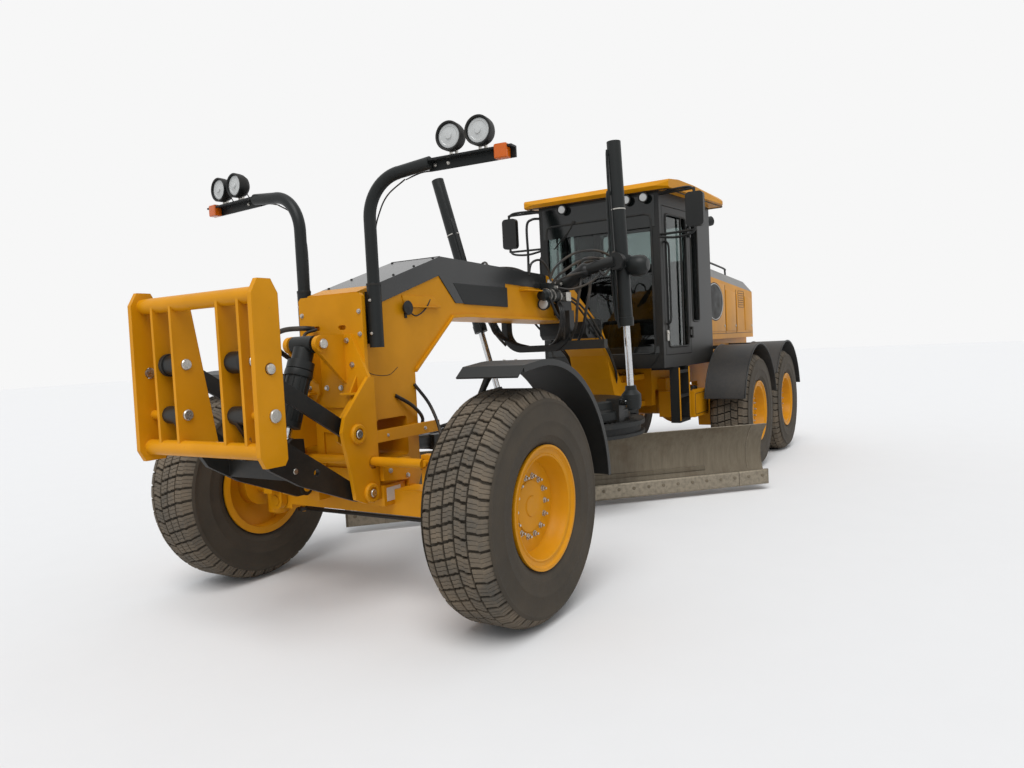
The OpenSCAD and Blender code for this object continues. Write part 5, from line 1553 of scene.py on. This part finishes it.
class GRADER_OT_blade(bpy.types.Operator):
    """Cutting edge, end bits, ribs and bolts of the moldboard"""
    bl_idname = "grader.blade"
    bl_label = "Blade"
    # The moldboard's curve: radius, height of its middle, how far its face lies ahead, half its height
    CURVE_R, CURVE_Z, CURVE_X, CURVE_HALF = 0.420, 0.363, 0.094, 0.305

    def execute(self, context):
        make("cutting_edge", "edge", "blade", self.edge, BLADE)
        make("edge_bolts", "blade", "blade", self.bolt_row, BLADE)
        make("moldboard_ribs", "edge", "blade", self.ribs, BLADE)
        make("slide_rail_bolts", "zinc", "pitch_frame", self.rail_bolts, BLADE)
        return {"FINISHED"}

    def edge(self, shape):
        """Edge in two lengths, and the end bits."""
        for low, high in ((-2.080, -1.76), (-1.756, -0.002), (0.002, 1.756), (1.76, 2.080)):
            plate(shape, [(0.0945, 0.060), (0.107, 0.062), (0.112, 0.075), (0.112, 0.195),
                          (0.105, 0.208), (0.0945, 0.208)], low, high, 0.0015)

    def ribs(self, shape):
        """Joints of the end bits along the moldboard's curve, and its worn top edge."""
        back = self.CURVE_X + math.sqrt(self.CURVE_R ** 2 - self.CURVE_HALF ** 2)
        heights = [0.215 + 0.445 * k / 16 for k in range(17)]
        curve = [(back - math.sqrt(self.CURVE_R ** 2 - (z - self.CURVE_Z) ** 2) + 0.001, z)
                 for z in heights]
        for y in (-1.93, 1.93):
            tube(shape, [(x, y, z) for x, z in curve], 0.0035, 6)
        tube(shape, [(0.084, -2.085, 0.6665), (0.084, 2.085, 0.6665)], 0.006, 8)

    def bolt_row(self, shape):
        """Round bolt heads along the edge."""
        count = 27
        for i in range(count):
            y = -2.02 + 4.04 * i / (count - 1)
            lathe(shape, [(0, 0.017), (0.004, 0.016), (0.006, 0.010), (0.006, 0)],
                  (0.1115, y, 0.150), AHEAD, 16)

    def rail_bolts(self, shape):
        """Bolts on the arms that hold the slide rails."""
        for side in (1, -1):
            bolts(shape, LEFT, 0.016, [(-0.10, 0.745, 0.30), (-0.10, 0.745, 0.50)], side)


class GRADER_OT_steering(bpy.types.Operator):
    """Kingpin caps with their bolts, and the front fenders' bolts and leads"""
    bl_idname = "grader.steering"
    bl_label = "Steering"
    KINGPIN_Y = 0.840
    # Radius of the front fender's bolts about the wheel's axis, and the height of that axis
    FENDER_R, WHEEL_Z = 0.794, 0.710

    def execute(self, context):
        for label, side in SIDES:
            mirror = Matrix.Diagonal((1, side, 1, 1))
            make(f"steer_{label}_caps", "yellow", f"steer_{label}", self.caps, mirror)
            make(f"steer_{label}_bolts", "zinc", f"steer_{label}", self.bolts, mirror)
            make(f"steer_{label}_hoses", "hose", f"steer_{label}", self.hoses, mirror)
        return {"FINISHED"}

    def caps(self, shape):
        """Caps over the kingpins."""
        disc(shape, (0, self.KINGPIN_Y, 0.880), UP, 0.048, 0.018)
        disc(shape, (0, self.KINGPIN_Y, 0.492), DOWN, 0.055, 0.016)

    def bolts(self, shape):
        """Bolts of the kingpin caps and the fender."""
        for t in turns(6):
            spot = (0.040 * math.cos(t), self.KINGPIN_Y + 0.040 * math.sin(t), 0.879)
            bolt_shape(shape, spot, UP, 0.007)
        for x, y in ((-0.10, 1.06), (-0.10, 1.14), (-0.22, 1.10)):
            height = self.WHEEL_Z + math.sqrt(self.FENDER_R * self.FENDER_R - x * x)
            bolt_shape(shape, (x, y, height), (x, 0, height - self.WHEEL_Z), 0.009)

    def hoses(self, shape):
        """Lead along the fender's stay."""
        hose(shape, [(-0.045, 0.845, 0.90), (-0.050, 0.868, 1.15), (-0.088, 0.955, 1.38),
                     (-0.098, 1.05, 1.47)], 0.006, 8)


class GRADER_OT_stage(bpy.types.Operator):
    """Pale floor, soft light and the camera"""
    bl_idname = "grader.stage"
    bl_label = "Stage"

    def execute(self, context):
        scene = context.scene
        settings = scene.grader_stage
        scene.view_settings.view_transform = "Standard"
        self.floor()
        self.sky(scene)
        self.lamps()
        self.camera(scene, settings)
        return {"FINISHED"}

    def floor(self):
        """A wide pale floor that keeps the shadow."""
        shape = bmesh.new()
        bmesh.ops.create_grid(shape, x_segments=2, y_segments=2, size=60)
        mesh = bpy.data.meshes.new("floor")
        shape.to_mesh(mesh)
        shape.free()
        material, tree, shader = start_material("floor_pale")
        grain = noise(tree, coordinates(tree), 3, 4)
        coat = tint(tree, grain, (0.74, 0.735, 0.73), (0.76, 0.755, 0.75))
        tree.links.new(coat, shader.inputs["Base Color"])
        shader.inputs["Roughness"].default_value = 0.9
        mesh.materials.append(material)
        floor = bpy.data.objects.new("floor", mesh)
        bpy.context.collection.objects.link(floor)

    def sky(self, scene):
        """Even light from all round, and a white background for the camera, metal and glass."""
        world = bpy.data.worlds.new("studio")
        scene.world = world
        world.use_nodes = True
        tree = world.node_tree
        light = tree.nodes["Background"]
        light.inputs["Color"].default_value = (0.93, 0.96, 1.0, 1)
        light.inputs["Strength"].default_value = 0.66
        seen = tree.nodes.new("ShaderNodeBackground")
        seen.inputs["Color"].default_value = (1, 1, 1, 1)
        seen.inputs["Strength"].default_value = 0.93
        path = tree.nodes.new("ShaderNodeLightPath")
        any_ray = combine(tree, "MAXIMUM", path.outputs["Is Camera Ray"],
                          combine(tree, "MAXIMUM", path.outputs["Is Glossy Ray"],
                                  path.outputs["Is Transmission Ray"]))
        mix = tree.nodes.new("ShaderNodeMixShader")
        tree.links.new(any_ray, mix.inputs["Fac"])
        tree.links.new(light.outputs[0], mix.inputs[1])
        tree.links.new(seen.outputs[0], mix.inputs[2])
        tree.links.new(mix.outputs[0], tree.nodes["World Output"].inputs["Surface"])

    def lamps(self):
        """A soft key from above, ahead and a little to the left."""
        lamp = bpy.data.lights.new("key", "SUN")
        lamp.energy = 2.1
        lamp.angle = math.radians(40)
        obj = bpy.data.objects.new("key", lamp)
        bpy.context.collection.objects.link(obj)
        obj.rotation_euler = Vector((-0.50, -0.22, -0.84)).to_track_quat("-Z", "Y").to_euler()

    def camera(self, scene, settings):
        """The camera where the photograph was taken from."""
        data = bpy.data.cameras.new("camera")
        data.sensor_width = 36
        data.lens = settings.lens
        data.clip_start = 0.05
        data.clip_end = 200
        camera = bpy.data.objects.new("camera", data)
        bpy.context.collection.objects.link(camera)
        yaw, pitch, roll = settings.heading
        level = Vector((math.cos(yaw), math.sin(yaw), 0))
        ahead = level * math.cos(pitch) + Vector((0, 0, math.sin(pitch)))
        right = Vector((math.sin(yaw), -math.cos(yaw), 0))
        up = right.cross(ahead)
        turned = Matrix((right * math.cos(roll) + up * math.sin(roll),
                         up * math.cos(roll) - right * math.sin(roll), -ahead))
        camera.matrix_world = Matrix.Translation(at(*settings.stand)) @ turned.transposed().to_4x4()
        scene.camera = camera


class GRADER_PT_panel(bpy.types.Panel):
    """Lists the pieces of the machine"""
    bl_idname = "GRADER_PT_panel"
    bl_label = "Motor Grader"
    bl_space_type = "VIEW_3D"
    bl_region_type = "UI"
    bl_category = "Grader"

    def draw(self, context):
        for operator in OPERATORS:
            self.layout.operator(operator.bl_idname)
        for group in ("grader_finish", "grader_tread", "grader_stage"):
            settings = getattr(context.scene, group)
            for key in settings.__annotations__:
                self.layout.prop(settings, key)


SETTINGS = {"grader_finish": GraderFinish, "grader_tread": GraderTread, "grader_stage": GraderStage}
OPERATORS = [
    GRADER_OT_finishes, GRADER_OT_tyres, GRADER_OT_wheels, GRADER_OT_lights,
    GRADER_OT_front, GRADER_OT_saddle, GRADER_OT_cylinders, GRADER_OT_cab,
    GRADER_OT_rear, GRADER_OT_blade, GRADER_OT_steering, GRADER_OT_stage,
]


def register():
    """Adds the classes and their settings."""
    for cls in [*SETTINGS.values(), *OPERATORS, GRADER_PT_panel]:
        bpy.utils.register_class(cls)
    for name, cls in SETTINGS.items():
        setattr(bpy.types.Scene, name, bpy.props.PointerProperty(type=cls))


def unregister():
    """Takes the settings and the classes out again."""
    for name in SETTINGS:
        delattr(bpy.types.Scene, name)
    for cls in reversed([*SETTINGS.values(), *OPERATORS, GRADER_PT_panel]):
        bpy.utils.unregister_class(cls)


def main():
    """Makes every piece and the stage."""
    register()
    for operator in OPERATORS:
        group, name = operator.bl_idname.split(".")
        getattr(getattr(bpy.ops, group), name)()


if __name__ == "__main__":
    main()
